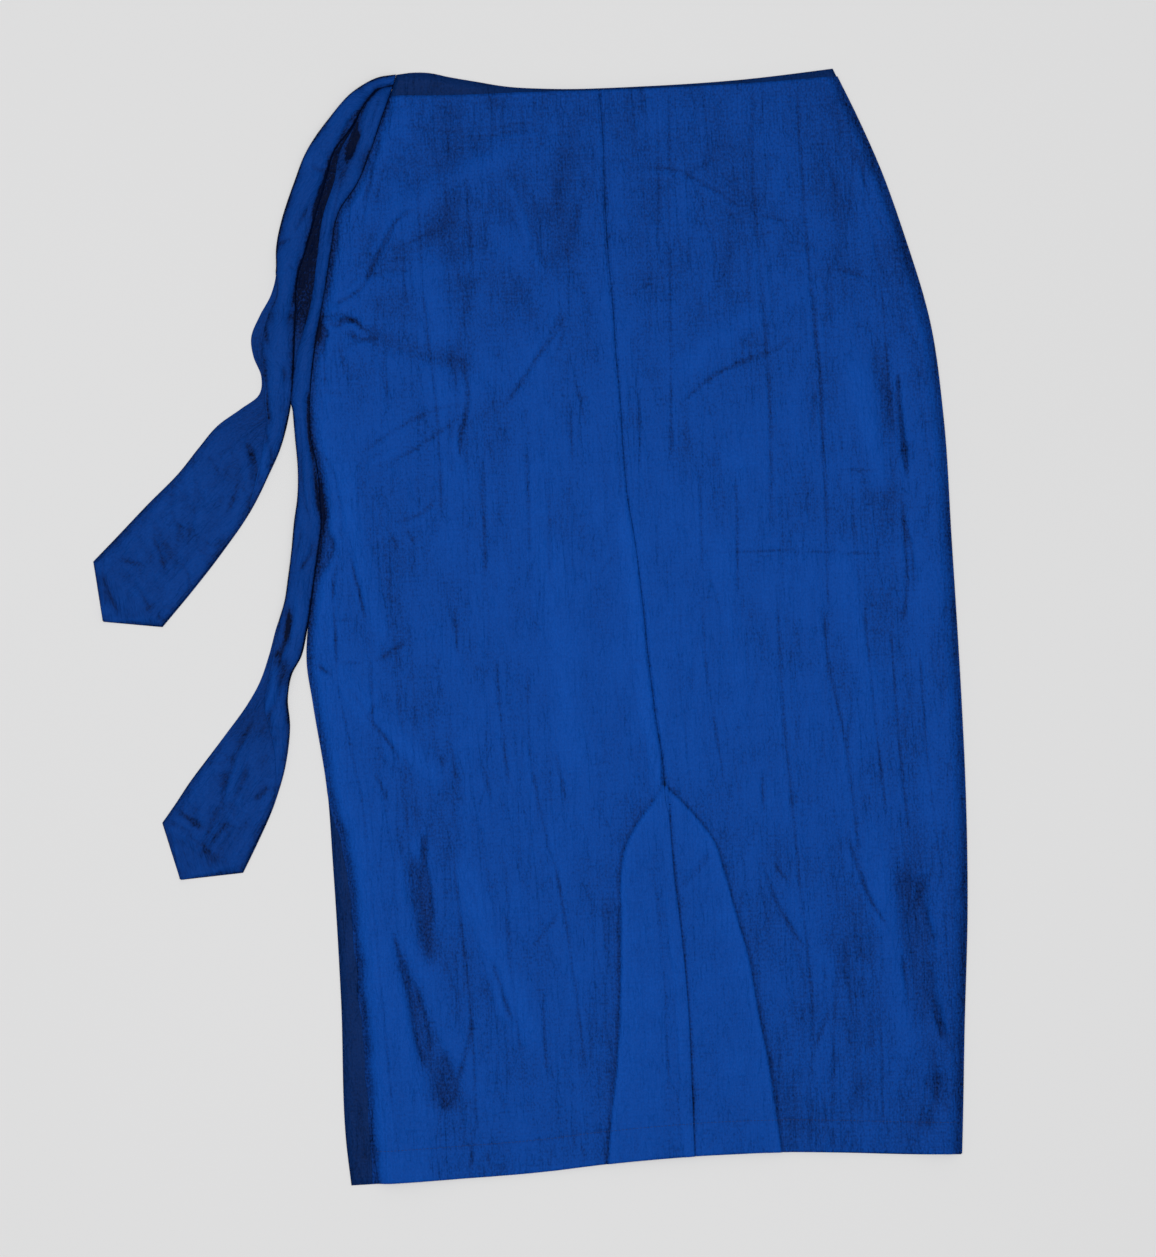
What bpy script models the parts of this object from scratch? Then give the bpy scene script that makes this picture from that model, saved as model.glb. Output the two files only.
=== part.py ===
"""Midi skirt with two side ties, laid flat with its back up.

Units in the tables are millimetres. X runs to the viewer's right, Y towards the waist and Z up from the floor.
The front panel lies on the floor, the two back panels lie on it, and below the centre back seam each back panel
is folded under at the kick pleat, over a tapered underlay. Both ties start at the left corner of the waist.
"""

import math

import bpy
import numpy as np

# Driving dimensions
MM = 0.001
PANEL_WALL = 1.0
TIE_WALL = 1.1
SEAM_GAP = 0.3
LAYER_GAP = 0.4
TIE_WIDTH = 69.0
MIDDLE_OF_OUTLINE = (-1.9, 4.0)

# Heights of the middle of each layer over the floor
FRONT_HEIGHT = PANEL_WALL / 2
LAYER_STEP = PANEL_WALL + LAYER_GAP
UNDERLAY_HEIGHT = FRONT_HEIGHT + LAYER_STEP
RETURN_HEIGHT = UNDERLAY_HEIGHT + LAYER_STEP
PLEAT_HEIGHT = RETURN_HEIGHT + LAYER_STEP
BACK_EDGE_HEIGHT = PANEL_WALL + SEAM_GAP + PANEL_WALL / 2
BACK_LIE_HEIGHT = 3.2
SEAM_GROOVE_DEPTH = 0.7
SEAM_GROOVE_WIDTH = 5.0

# The skirt's outline: (x, y) from waist to hem, and from left to right
LEFT_EDGE = [
    (-77.5, 408.5), (-81.5, 397), (-91, 373), (-98.5, 354), (-111, 328), (-123, 312), (-131, 283), (-137, 254),
    (-146, 214), (-152, 174), (-153, 147), (-149, 123), (-148.5, 100), (-148, 83), (-151, 66), (-158, 28),
    (-163, 0), (-164, -14), (-161, -45), (-154, -104), (-152, -169), (-151, -264), (-152, -374), (-150, -400),
]
RIGHT_EDGE = [
    (240.5, 397), (258.5, 355), (271.5, 321), (287, 270), (302.5, 207), (309, 137), (310.5, 49), (312, -68),
    (312, -112), (309, -214), (302.5, -301), (297.5, -374), (295.5, -400),
]
CENTRE_LINE = [
    (69, 397), (70.4, 364), (69.8, 309), (70.1, 273), (71.8, 236), (72.4, 200), (73.8, 163), (74.5, 118), (76, 90),
    (79.4, 62), (82.3, 26), (85.6, -30), (88.6, -70), (92, -104), (92.3, -122), (93, -150), (94.5, -190), (96.5, -214),
    (98.4, -245), (99.8, -283), (99.8, -320), (99.5, -357), (99, -400),
]
BACK_WAIST = [(-82, 397), (-39, 393.7), (-3, 391.2), (34, 390.6), (107, 388.8), (180, 390.3), (216, 393), (241, 396)]
FRONT_WAIST = [(-78, 408), (-66, 409), (-53, 408), (-39, 404.6), (-17, 400), (5, 395.5), (34, 392.5), (107, 390.8),
               (180, 392.5), (216, 395), (241, 397)]
HEM = [(-150, -400), (-78, -399), (-5, -396.6), (41, -393), (69, -391.5), (164, -391), (200, -393), (273, -398),
       (296, -399)]

# The kick pleat: y, and the x of the left and right edges of what is folded under
PLEAT_TOP = -130.0
PLEAT_LINES = [
    (-122, 91, 94), (-134, 82, 105), (-146, 72.5, 115), (-163, 63, 126), (-183, 58.6, 131.5), (-214, 57, 138.6),
    (-248, 55.2, 146.5), (-289, 52.3, 151.8), (-326, 48.3, 157.3), (-364, 42.4, 161.4), (-400, 38.4, 164.3),
]
PLEAT_STEP_CLEAR = 2.5
PLEAT_STEP_RUN = 8.0
PLEAT_LEAST_OFFSET = 6.0
PLEAT_OFFSET_ABOVE = 26.0
UNDERLAY_TOP = -144.0
UNDERLAY_INSET = 1.0
HEM_INSET = 1.5

# How far the back's left edge lies inside the front's, where the inside of the front shows: y, inset
BACK_LEFT_INSETS = [(400, 0), (-80, 0), (-110, 0), (-123, 1.5), (-145, 6.5), (-169, 10), (-211, 11.5), (-267, 13.5),
                    (-310, 16.5), (-345, 17.5), (-400, 17)]

# How high the cloth stands along the side edges before it turns down to the floor: y, left, right
SIDE_ROLLS = [(400, 0.5, 0.6), (200, 0.6, 1.6), (60, 1.0, 2.4), (-60, 1.8, 2.6), (-150, 2.8, 2.6), (-260, 3.4, 3.0),
              (-400, 3.0, 2.4)]
LEFT_ROLL_RUN = 15.0
LEFT_ROLL_FADE = 75.0
RIGHT_ROLL_RUN = 11.0
RIGHT_ROLL_FADE = 46.0
EDGE_RISE_RUN = 14.0

# The largest folds in the back: start x, start y, end x, end y, height (minus is a trough), half width
FOLDS = [
    (-96, 303, 4, 348, 1.3, 9), (-120, 252, -20, 268, 1.0, 10), (-128, 226, -30, 190, -0.9, 8),
    (-84, 330, -50, 215, 1.0, 11), (-30, 345, 6, 258, 0.9, 12), (118, 182, 178, 222, 0.9, 10),
    (-134, 120, -108, -4, 1.3, 8), (-140, -30, -70, -110, 1.3, 9), (-44, 205, -40, 130, -0.8, 8),
    (262, 190, 280, 108, -1.4, 7), (244, 178, 262, 90, 1.2, 8), (230, 46, 242, -60, 0.8, 10),
    (-92, -165, -84, -236, -2.4, 8), (-108, -232, -78, -345, -2.2, 11), (-60, -170, -14, -300, 1.2, 10),
    (262, -190, 284, -360, -1.6, 10), (240, -150, 262, -330, 1.0, 9), (176, -196, 206, -262, 0.8, 9),
    (20, 60, 26, -110, 0.7, 11), (140, 60, 152, -90, 0.7, 12),
]
FOLD_END_FADE = 26.0

# The ties, a row for each section: outer x, outer y, inner x, inner y, share of the spare width under the outer edge
TIE_UPPER = [
    (-78.4, 407.4, -80.7, 400.2, 0.5), (-91, 406, -91, 398, 0.5), (-109, 397, -101, 388.5, 0.5),
    (-128, 378, -112, 372, 0.5), (-146, 354, -127, 353, 0.5), (-156, 332, -133, 334, 0.5),
    (-166, 306, -141, 311, 0.5), (-171, 285, -150, 284, 0.5), (-172, 269, -156, 268, 0.5),
    (-177, 252, -159, 253, 0.5), (-186, 237, -160, 237, 0.5), (-193, 221, -161.5, 220, 0.5),
    (-192, 208, -162.5, 207, 0.5), (-187, 193, -164, 192, 0.6), (-189, 180, -166, 176, 0.7),
    (-203, 170, -170, 158, 0.8), (-220, 159, -176, 140, 0.8), (-236, 142, -186, 120, 0.5),
    (-249, 127, -198, 98, 0.5), (-275, 103, -222, 66, 0.5), (-299, 80, -246, 38, 0.5), (-316, 64, -268, 14, 0.5),
]
TIE_UPPER_TIP = (-311, 20)
TIE_LOWER = [
    (-84, 394.8, -87.2, 387.2, 0.5), (-95.5, 390, -89.6, 381.3, 0.5), (-105, 379.5, -92.7, 373, 0.5),
    (-114.2, 366.5, -97.4, 361, 0.5), (-125.8, 351, -105.2, 345, 0.5), (-131.4, 334, -114.4, 328, 0.5),
    (-138.6, 313.5, -125.5, 312, 0.5), (-146, 291.5, -131.5, 290, 0.5), (-153, 272, -135.1, 272, 0.5),
    (-157.4, 256, -138, 255, 0.5), (-158.6, 239.5, -142.1, 237, 0.5), (-160, 224, -145.5, 222, 0.5),
    (-161.2, 207, -148.6, 205, 0.5), (-164.5, 172, -153, 172, 0.5), (-164, 150, -153.9, 147, 0.5),
    (-163, 123, -149.9, 123, 0.5), (-164.5, 102, -149.3, 100, 0.5), (-167.5, 86, -149, 83, 0.5),
    (-170.5, 65, -152, 66, 0.5), (-174, 45, -156.3, 42, 0.5), (-178, 26, -160.2, 20, 0.5),
    (-185, 9, -164, 2, 0.5), (-191, -10, -168, -12, 0.4), (-199, -30, -176, -26, 0.3),
    (-209, -46, -179.5, -42, 0.3), (-225, -66, -179, -64, 0.3), (-240, -84, -184, -93, 0.5),
    (-254, -101, -194, -122, 0.5), (-265, -116, -206, -146, 0.5), (-275, -129, -218, -168, 0.5),
]
TIE_LOWER_TIP = (-264, -171)
TIE_STATIONS = 38
TIE_TIP_ROWS = (0.3, 0.6, 0.85, 0.95)
TIE_TOP_COLUMNS = 5
TIE_FLAP_LEAST = 0.6
TIE_CROWN = 2.4
TIE_FLOOR_CLEAR = 0.02

# Mesh rows and columns
ROWS_ABOVE_PLEAT = 24
ROWS_BELOW_PLEAT = 14
SIDE_COLUMNS = (0, 4, 9, 15, 25, 40)
MIDDLE_COLUMNS = 6
PLEAT_COLUMNS = 3
RETURN_COLUMNS = 2
FOLD_ARC_STEPS = 3
FRONT_COLUMNS = 6
FRONT_ROWS = 30
UNDERLAY_COLUMNS = 5
UNDERLAY_ROWS = 12


def smooth_line(keys, values):
    """A smooth curve through the rows, as a function of the key."""
    order = np.argsort(keys)
    knots = np.asarray(keys, float)[order]
    heights = np.asarray(values, float)[order]
    slopes = np.gradient(heights, knots)

    def value_at(key):
        key = np.clip(key, knots[0], knots[-1])
        i = np.clip(np.searchsorted(knots, key) - 1, 0, len(knots) - 2)
        span = knots[i + 1] - knots[i]
        s = (key - knots[i]) / span
        rise = (3 - 2 * s) * s * s
        lead_in = s * (1 - s) ** 2 * span * slopes[i]
        lead_out = s * s * (s - 1) * span * slopes[i + 1]
        return heights[i] + (heights[i + 1] - heights[i]) * rise + lead_in + lead_out

    return value_at


def edge_of(rows):
    """x as a smooth function of y, from rows of (x, y)."""
    return smooth_line([y for _, y in rows], [x for x, _ in rows])


def level_of(rows):
    """y as a smooth function of x, from rows of (x, y)."""
    return smooth_line([x for x, _ in rows], [y for _, y in rows])


left_x = edge_of(LEFT_EDGE)
right_x = edge_of(RIGHT_EDGE)
centre_x = edge_of(CENTRE_LINE)
back_waist_y = level_of(BACK_WAIST)
front_waist_y = level_of(FRONT_WAIST)
hem_y = level_of(HEM)
pleat_left_x = smooth_line([row[0] for row in PLEAT_LINES], [row[1] for row in PLEAT_LINES])
pleat_right_x = smooth_line([row[0] for row in PLEAT_LINES], [row[2] for row in PLEAT_LINES])
back_left_inset = smooth_line([y for y, _ in BACK_LEFT_INSETS], [inset for _, inset in BACK_LEFT_INSETS])
left_roll = smooth_line([row[0] for row in SIDE_ROLLS], [row[1] for row in SIDE_ROLLS])
right_roll = smooth_line([row[0] for row in SIDE_ROLLS], [row[2] for row in SIDE_ROLLS])


def back_left_x(y):
    """x of the back's left edge."""
    return left_x(y) + max(back_left_inset(y), 0.0)


def ease(value):
    """0 to 1 with level ends."""
    value = np.clip(value, 0.0, 1.0)
    return value * value * (3 - 2 * value)


def roll_shape(distance, run, fade):
    """Rises from a side edge over run, then sinks back by fade."""
    return ease(distance / run) * (1 - ease((distance - run) / (fade - run)))


def fold_height(x, y, fold):
    """Height of one fold at a point: round across, and fading at both ends."""
    x0, y0, x1, y1, height, half_width = fold
    length = math.hypot(x1 - x0, y1 - y0)
    along = ((x - x0) * (x1 - x0) + (y - y0) * (y1 - y0)) / length
    across = ((x - x0) * (y1 - y0) - (y - y0) * (x1 - x0)) / length
    ends = ease((along + FOLD_END_FADE / 2) / FOLD_END_FADE) * ease((length - along + FOLD_END_FADE / 2) / FOLD_END_FADE)
    return height * math.exp(-(across / half_width) ** 2) * ends


def pleat_offset(y, side):
    """From the centre line to the edge of what is folded under, and a plain distance above the pleat."""
    if y > PLEAT_TOP:
        return PLEAT_LEAST_OFFSET + (PLEAT_OFFSET_ABOVE - PLEAT_LEAST_OFFSET) * ease((y - PLEAT_TOP) / 90)
    line = pleat_left_x(y) if side < 0 else pleat_right_x(y)
    return max(abs(centre_x(y) - line), PLEAT_LEAST_OFFSET)


def pleat_rise(x, y):
    """1 over the pleat's folded layers, falling to 0 just outside them."""
    side = -1 if x < centre_x(y) else 1
    if y > PLEAT_TOP:
        outside = abs(x - centre_x(y)) + (y - PLEAT_TOP) * 0.4 - PLEAT_LEAST_OFFSET
    else:
        outside = abs(x - centre_x(y)) - pleat_offset(y, side)
    return 1 - ease((outside - PLEAT_STEP_CLEAR) / PLEAT_STEP_RUN)


def back_height(x, y):
    """Height of the middle of the back's cloth over the floor."""
    from_left = x - back_left_x(y)
    from_right = right_x(y) - x
    inside = ease(min(from_left, from_right) / EDGE_RISE_RUN)
    height = BACK_EDGE_HEIGHT + (BACK_LIE_HEIGHT - BACK_EDGE_HEIGHT) * inside
    height += left_roll(y) * roll_shape(from_left, LEFT_ROLL_RUN, LEFT_ROLL_FADE)
    height += right_roll(y) * roll_shape(from_right, RIGHT_ROLL_RUN, RIGHT_ROLL_FADE)
    height += inside * sum(fold_height(x, y, fold) for fold in FOLDS)
    height -= SEAM_GROOVE_DEPTH * math.exp(-((x - centre_x(y)) / SEAM_GROOVE_WIDTH) ** 2)
    height = max(height, BACK_EDGE_HEIGHT)
    rise = pleat_rise(x, y)
    return height + (PLEAT_HEIGHT - height) * rise


def panel_columns(y, side):
    """x of each column of a back panel at one height, from the side edge to the centre line."""
    edge = back_left_x(y) if side < 0 else right_x(y)
    centre = centre_x(y) + side * SEAM_GAP / 2
    width = abs(centre - edge)
    offset = pleat_offset(y, side)
    step_out = width - offset - PLEAT_STEP_CLEAR - PLEAT_STEP_RUN
    near_edge = list(SIDE_COLUMNS)
    middle = list(np.linspace(near_edge[-1], step_out, MIDDLE_COLUMNS + 1)[1:])
    step = [width - offset - PLEAT_STEP_CLEAR]
    over_pleat = list(np.linspace(width - offset + 2, width, PLEAT_COLUMNS + 1))
    return [edge - side * distance for distance in near_edge + middle + step + over_pleat]


def row_height(x, down):
    """y of a point of the back, from how far down the skirt its row is."""
    share = (x - left_x(0)) / (right_x(0) - left_x(0))
    x_waist = left_x(396) + share * (right_x(396) - left_x(396))
    x_hem = left_x(-398) + share * (right_x(-398) - left_x(-398))
    return back_waist_y(x_waist) * (1 - down) + hem_y(x_hem) * down


def back_panel(side):
    """Points and faces of one back panel's middle surface, with the part that is folded under at the pleat."""
    top = back_waist_y(centre_x(390))
    bottom = hem_y(centre_x(-391))
    pleat_down = (top - PLEAT_TOP) / (top - bottom)
    downs = np.concatenate([np.linspace(0, pleat_down, ROWS_ABOVE_PLEAT + 1),
                            np.linspace(pleat_down, 1, ROWS_BELOW_PLEAT + 1)[1:]])
    radius = (PLEAT_HEIGHT - RETURN_HEIGHT) / 2
    points = []
    rows = []
    for number, down in enumerate(downs):
        guess = top + (bottom - top) * down
        columns = panel_columns(guess, side)
        places = [(x, row_height(x, down)) for x in columns]
        folded = number > ROWS_ABOVE_PLEAT
        if folded:
            fold_x, fold_y = places[-1]
            fold_x += side * (PANEL_WALL / 2 + radius)
            places[-1] = (fold_x, fold_y)
        row = []
        for x, y in places:
            row.append(len(points))
            points.append((x, y, back_height(x, y)))
        if folded:
            row += folded_columns(points, fold_x, fold_y, radius, side)
        rows.append(row)
    return points, grid_faces(rows, upward=side < 0)


def folded_columns(points, fold_x, fold_y, radius, side):
    """Adds the fold's arc and the layer that runs back under the panel, and returns their point numbers."""
    numbers = []
    for step in range(1, FOLD_ARC_STEPS + 1):
        turn = math.pi * step / FOLD_ARC_STEPS
        x = fold_x - side * radius * math.sin(turn)
        z = (PLEAT_HEIGHT + RETURN_HEIGHT) / 2 + radius * math.cos(turn)
        numbers.append(len(points))
        points.append((x, fold_y, z))
    end_x = pleat_left_x(fold_y) if side < 0 else pleat_right_x(fold_y)
    for x in np.linspace(fold_x, end_x, RETURN_COLUMNS + 1)[1:]:
        numbers.append(len(points))
        points.append((x, fold_y, RETURN_HEIGHT))
    return numbers


def grid_faces(rows, upward=True):
    """Faces between neighbouring rows. A row that is shorter ends in a fan at its last point."""
    faces = []
    for upper, lower in zip(rows, rows[1:]):
        for i in range(len(lower) - 1):
            if i + 1 < len(upper):
                face = [upper[i], lower[i], lower[i + 1], upper[i + 1]]
            else:
                face = [upper[-1], lower[i], lower[i + 1]]
            faces.append(face if upward else face[::-1])
    return faces


def front_panel():
    """Points and faces of the front panel's middle surface, flat on the floor."""
    points = []
    rows = []
    for down in np.linspace(0, 1, FRONT_ROWS + 1):
        row = []
        for share in np.linspace(0, 1, FRONT_COLUMNS + 1):
            x_waist = left_x(408) + share * (right_x(397) - left_x(408))
            x_hem = left_x(-400) + share * (right_x(-400) - left_x(-400))
            y = front_waist_y(x_waist) * (1 - down) + hem_y(x_hem) * down
            x = left_x(y) + share * (right_x(y) - left_x(y))
            row.append(len(points))
            points.append((x, y, FRONT_HEIGHT))
        rows.append(row)
    return points, grid_faces(rows)


def pleat_underlay():
    """Points and faces of the tapered piece behind the kick pleat."""
    points = []
    rows = []
    for down in np.linspace(0, 1, UNDERLAY_ROWS + 1):
        row = []
        for share in np.linspace(0, 1, UNDERLAY_COLUMNS + 1):
            hem = hem_y(100) + HEM_INSET
            y = UNDERLAY_TOP + (hem - UNDERLAY_TOP) * down
            start = pleat_left_x(y) + UNDERLAY_INSET
            end = pleat_right_x(y) - UNDERLAY_INSET
            row.append(len(points))
            points.append((start + share * (end - start), y, UNDERLAY_HEIGHT))
        rows.append(row)
    return points, grid_faces(rows)


def tie_section(outer, inner, share, points):
    """Adds one section of a tie, from its outer turned part over the top to its inner one."""
    outer = np.array(outer, float)
    inner = np.array(inner, float)
    width = float(np.linalg.norm(inner - outer))
    across = (inner - outer) / width
    stacked = ease((TIE_WIDTH - 6 - width) / 22)
    step = TIE_WALL + LAYER_GAP
    low = TIE_WALL / 2 + TIE_FLOOR_CLEAR
    middle = low + step * stacked
    high = low + step * (1 + stacked)
    outer_radius = (high - low) / 2
    inner_radius = (high - middle) / 2
    start = TIE_WALL / 2 + outer_radius
    end = width - TIE_WALL / 2 - inner_radius
    spare = max(TIE_WIDTH - width, 0)
    most = max(end - start - 1.5 * TIE_WALL, 2 * TIE_FLAP_LEAST)
    under_outer = np.clip(spare * share, TIE_FLAP_LEAST, most * (0.45 + 0.55 * stacked))
    under_inner = np.clip(spare * (1 - share), TIE_FLAP_LEAST, most * (0.45 + 0.55 * stacked))
    profile = [(start + under_outer, low), (start + under_outer / 2, low)]
    for i in range(FOLD_ARC_STEPS + 1):
        turn = math.pi * i / FOLD_ARC_STEPS
        profile.append((start - outer_radius * math.sin(turn), (low + high) / 2 - outer_radius * math.cos(turn)))
    for i in range(1, TIE_TOP_COLUMNS):
        place = i / TIE_TOP_COLUMNS
        crown = TIE_CROWN * math.sin(math.pi * place) * stacked
        profile.append((start + (end - start) * place, high + crown))
    for i in range(FOLD_ARC_STEPS + 1):
        turn = math.pi * i / FOLD_ARC_STEPS
        profile.append((end + inner_radius * math.sin(turn), (middle + high) / 2 + inner_radius * math.cos(turn)))
    profile += [(end - under_inner / 2, middle), (end - under_inner, middle)]
    row = []
    for distance, height in profile:
        x, y = outer + across * distance
        row.append(len(points))
        points.append((x, y, height))
    return row


def tie(sections, tip):
    """Points and faces of a tie's middle surface: folded lengthwise, opening to a flat pointed end."""
    sections = np.array(sections, float)
    middle = (sections[:, 0:2] + sections[:, 2:4]) / 2
    lengths = np.concatenate([[0], np.cumsum(np.linalg.norm(np.diff(middle, axis=0), axis=1))])
    columns = [smooth_line(lengths, sections[:, i]) for i in range(5)]
    points = []
    rows = []
    for length in np.linspace(0, lengths[-1], TIE_STATIONS):
        outer_x, outer_y, inner_x, inner_y, share = [column(length) for column in columns]
        rows.append(tie_section((outer_x, outer_y), (inner_x, inner_y), share, points))
    outer = sections[-1, 0:2]
    inner = sections[-1, 2:4]
    for part in TIE_TIP_ROWS:
        rows.append(tie_section(outer + (tip - outer) * part, inner + (tip - inner) * part, 0.5, points))
    return points, grid_faces(rows)


def cloth_material(name, colour, roughness):
    """A plain Principled material."""
    material = bpy.data.materials.new(name)
    material.use_nodes = True
    shader = material.node_tree.nodes["Principled BSDF"]
    shader.inputs["Base Color"].default_value = (*colour, 1.0)
    shader.inputs["Roughness"].default_value = roughness
    shader.inputs["Metallic"].default_value = 0.0
    return material


def add_piece(name, surface, wall, anchor, material, parent):
    """Makes one named piece: its middle surface, its wall and its place."""
    points, faces = surface
    points = np.array(points, float)
    points[:, 0] -= MIDDLE_OF_OUTLINE[0]
    points[:, 1] -= MIDDLE_OF_OUTLINE[1]
    origin = np.array([anchor[0] - MIDDLE_OF_OUTLINE[0], anchor[1] - MIDDLE_OF_OUTLINE[1], 0.0])
    mesh = bpy.data.meshes.new(name)
    mesh.from_pydata(((points - origin) * MM).tolist(), [], faces)
    mesh.materials.append(material)
    mesh.update()
    mesh.shade_smooth()
    piece = bpy.data.objects.new(name, mesh)
    bpy.context.scene.collection.objects.link(piece)
    piece.location = origin * MM
    piece.parent = parent
    cloth = piece.modifiers.new("cloth wall", "SOLIDIFY")
    cloth.thickness = wall * MM
    cloth.offset = 0.0
    cloth.use_rim = True
    return piece


def build():
    """Makes the whole skirt."""
    for old in list(bpy.data.objects):
        bpy.data.objects.remove(old, do_unlink=True)
    skirt = bpy.data.objects.new("skirt", None)
    bpy.context.scene.collection.objects.link(skirt)

    panel_blue = cloth_material("crinkled taffeta", (0.006, 0.055, 0.300), 0.5)
    inside_blue = cloth_material("crinkled taffeta, inside", (0.008, 0.040, 0.180), 0.6)
    tie_blue = cloth_material("crinkled taffeta, ties", (0.006, 0.045, 0.240), 0.5)

    seam_top = (centre_x(390), back_waist_y(centre_x(390)))
    pleat_top = (centre_x(PLEAT_TOP), PLEAT_TOP)
    waist_corner = (left_x(397), 397)
    add_piece("front_panel", front_panel(), PANEL_WALL, waist_corner, inside_blue, skirt)
    add_piece("pleat_underlay", pleat_underlay(), PANEL_WALL, pleat_top, inside_blue, skirt)
    add_piece("back_panel_left", back_panel(-1), PANEL_WALL, seam_top, panel_blue, skirt)
    add_piece("back_panel_right", back_panel(1), PANEL_WALL, seam_top, panel_blue, skirt)
    add_piece("tie_upper", tie(TIE_UPPER, TIE_UPPER_TIP), TIE_WALL, waist_corner, tie_blue, skirt)
    add_piece("tie_lower", tie(TIE_LOWER, TIE_LOWER_TIP), TIE_WALL, waist_corner, tie_blue, skirt)


build()
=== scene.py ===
"""The looks of a midi skirt with two side ties, laid flat with its back up.

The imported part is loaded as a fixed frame, and thin crinkled taffeta is laid over its solids. The outline
tables are those of the part's own source, in millimetres: X to the viewer's right, Y towards the waist, Z up
from the floor. Fold lines are read off the photograph in its own pixels, and from_photo turns them into those
millimetres.
"""

import math

import bpy
import numpy as np
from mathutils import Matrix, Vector


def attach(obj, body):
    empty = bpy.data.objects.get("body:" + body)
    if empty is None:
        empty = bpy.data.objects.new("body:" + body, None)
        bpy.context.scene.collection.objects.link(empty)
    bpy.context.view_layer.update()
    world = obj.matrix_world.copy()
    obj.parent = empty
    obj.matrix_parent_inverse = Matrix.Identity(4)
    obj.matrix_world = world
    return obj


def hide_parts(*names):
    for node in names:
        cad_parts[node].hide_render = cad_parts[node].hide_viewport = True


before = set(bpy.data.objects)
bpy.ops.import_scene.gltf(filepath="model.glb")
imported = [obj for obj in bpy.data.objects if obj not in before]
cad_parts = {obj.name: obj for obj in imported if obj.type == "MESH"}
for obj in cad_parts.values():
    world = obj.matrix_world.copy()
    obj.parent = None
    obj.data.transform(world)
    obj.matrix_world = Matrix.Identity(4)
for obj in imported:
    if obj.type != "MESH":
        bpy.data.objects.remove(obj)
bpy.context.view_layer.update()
bpy.ops.object.select_all(action="DESELECT")

# Units, and how the photograph lies over the part
MM = 0.001
MIDDLE_OF_OUTLINE = (-1.9, 4.0)
PHOTO_MM_PER_PIXEL = 0.73
PHOTO_ORIGIN = (530, 628)
PHOTO_CENTRE = (578, 628.5)
PHOTO_HEIGHT = 1257
PHOTO_TURN = math.radians(2.8)

# Cloth, and the heights of its layers over the floor
PANEL_CLOTH = 0.6
TIE_CLOTH = 0.5
FRONT_HEIGHT = 0.4
UNDERLAY_HEIGHT = 1.9
RETURN_HEIGHT = 3.3
PLEAT_HEIGHT = 4.8
BACK_EDGE_HEIGHT = 1.15
BACK_LIE_HEIGHT = 3.1
SEAM_GAP = 0.12
TIE_WIDTH = 69.0

# The skirt's outline: (x, y) from waist to hem, and from left to right
LEFT_EDGE = [
    (-77.5, 408.5), (-81.5, 397), (-91, 373), (-98.5, 354), (-111, 328), (-123, 312), (-131, 283),
    (-137, 254), (-146, 214), (-152, 174), (-153, 147), (-149, 123), (-148.5, 100), (-148, 83), (-151, 66),
    (-158, 28), (-163, 0), (-164, -14), (-161, -45), (-154, -104), (-152, -169), (-151, -264), (-152, -374),
    (-150, -400),
]
RIGHT_EDGE = [
    (240.5, 397), (258.5, 355), (271.5, 321), (287, 270), (302.5, 207), (309, 137), (310.5, 49), (312, -68),
    (312, -112), (309, -214), (302.5, -301), (297.5, -374), (295.5, -400),
]
CENTRE_LINE = [
    (69, 397), (70.4, 364), (69.8, 309), (70.1, 273), (71.8, 236), (72.4, 200), (73.8, 163), (74.5, 118),
    (76, 90), (79.4, 62), (82.3, 26), (85.6, -30), (88.6, -70), (92, -104), (92.3, -122), (93, -150),
    (94.5, -190), (96.5, -214), (98.4, -245), (99.8, -283), (99.8, -320), (99.5, -357), (99, -400),
]
BACK_WAIST = [
    (-82, 397), (-39, 393.7), (-3, 391.2), (34, 390.6), (107, 388.8), (180, 390.3), (216, 393), (241, 396),
]
FRONT_WAIST = [
    (-78, 408), (-66, 409), (-53, 408), (-39, 404.6), (-17, 400), (5, 395.5), (34, 392.5), (107, 390.8),
    (180, 392.5), (216, 395), (241, 397),
]
HEM = [
    (-150, -400), (-78, -399), (-5, -396.6), (41, -393), (69, -391.5), (164, -391), (200, -393),
    (273, -398), (296, -399),
]

# The kick pleat: y, and the x of the left and right edges of what is folded under
PLEAT_TOP = -130.0
PLEAT_LINES = [
    (-122, 91, 94), (-134, 82, 105), (-146, 72.5, 115), (-163, 63, 126), (-183, 58.6, 131.5),
    (-214, 57, 138.6), (-248, 55.2, 146.5), (-289, 52.3, 151.8), (-326, 48.3, 157.3), (-364, 42.4, 161.4),
    (-400, 38.4, 164.3),
]
PLEAT_POINT = -117.0
PLEAT_STEP_CLEAR = 0.4
PLEAT_STEP_RUN = 2.6
PLEAT_INSET = 1.0
PLEAT_OVERLAP = 1.6
UNDERLAY_TOP = -144.0
UNDERLAY_INSET = 2.0
HEM_INSET = 1.5

# How far the back's left edge lies inside the front's: y, inset
BACK_LEFT_INSETS = [
    (400, 0), (-80, 0), (-110, 0), (-123, 1.5), (-145, 6.5), (-169, 10), (-211, 11.5), (-267, 13.5),
    (-310, 16.5), (-345, 17.5), (-400, 17),
]
BACK_LEFT_UNEVEN = 1.1

# How high the cloth stands along the side edges before it turns down to the floor: y, left, right
SIDE_ROLLS = [
    (400, 0.5, 0.6), (200, 0.6, 1.6), (60, 1.0, 2.4), (-60, 1.8, 2.6), (-150, 2.8, 2.6), (-260, 3.4, 3.0),
    (-400, 3.0, 2.4),
]
LEFT_ROLL_RUN = 15.0
LEFT_ROLL_FADE = 75.0
RIGHT_ROLL_RUN = 11.0
RIGHT_ROLL_FADE = 46.0
EDGE_RISE_RUN = 9.0

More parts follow.
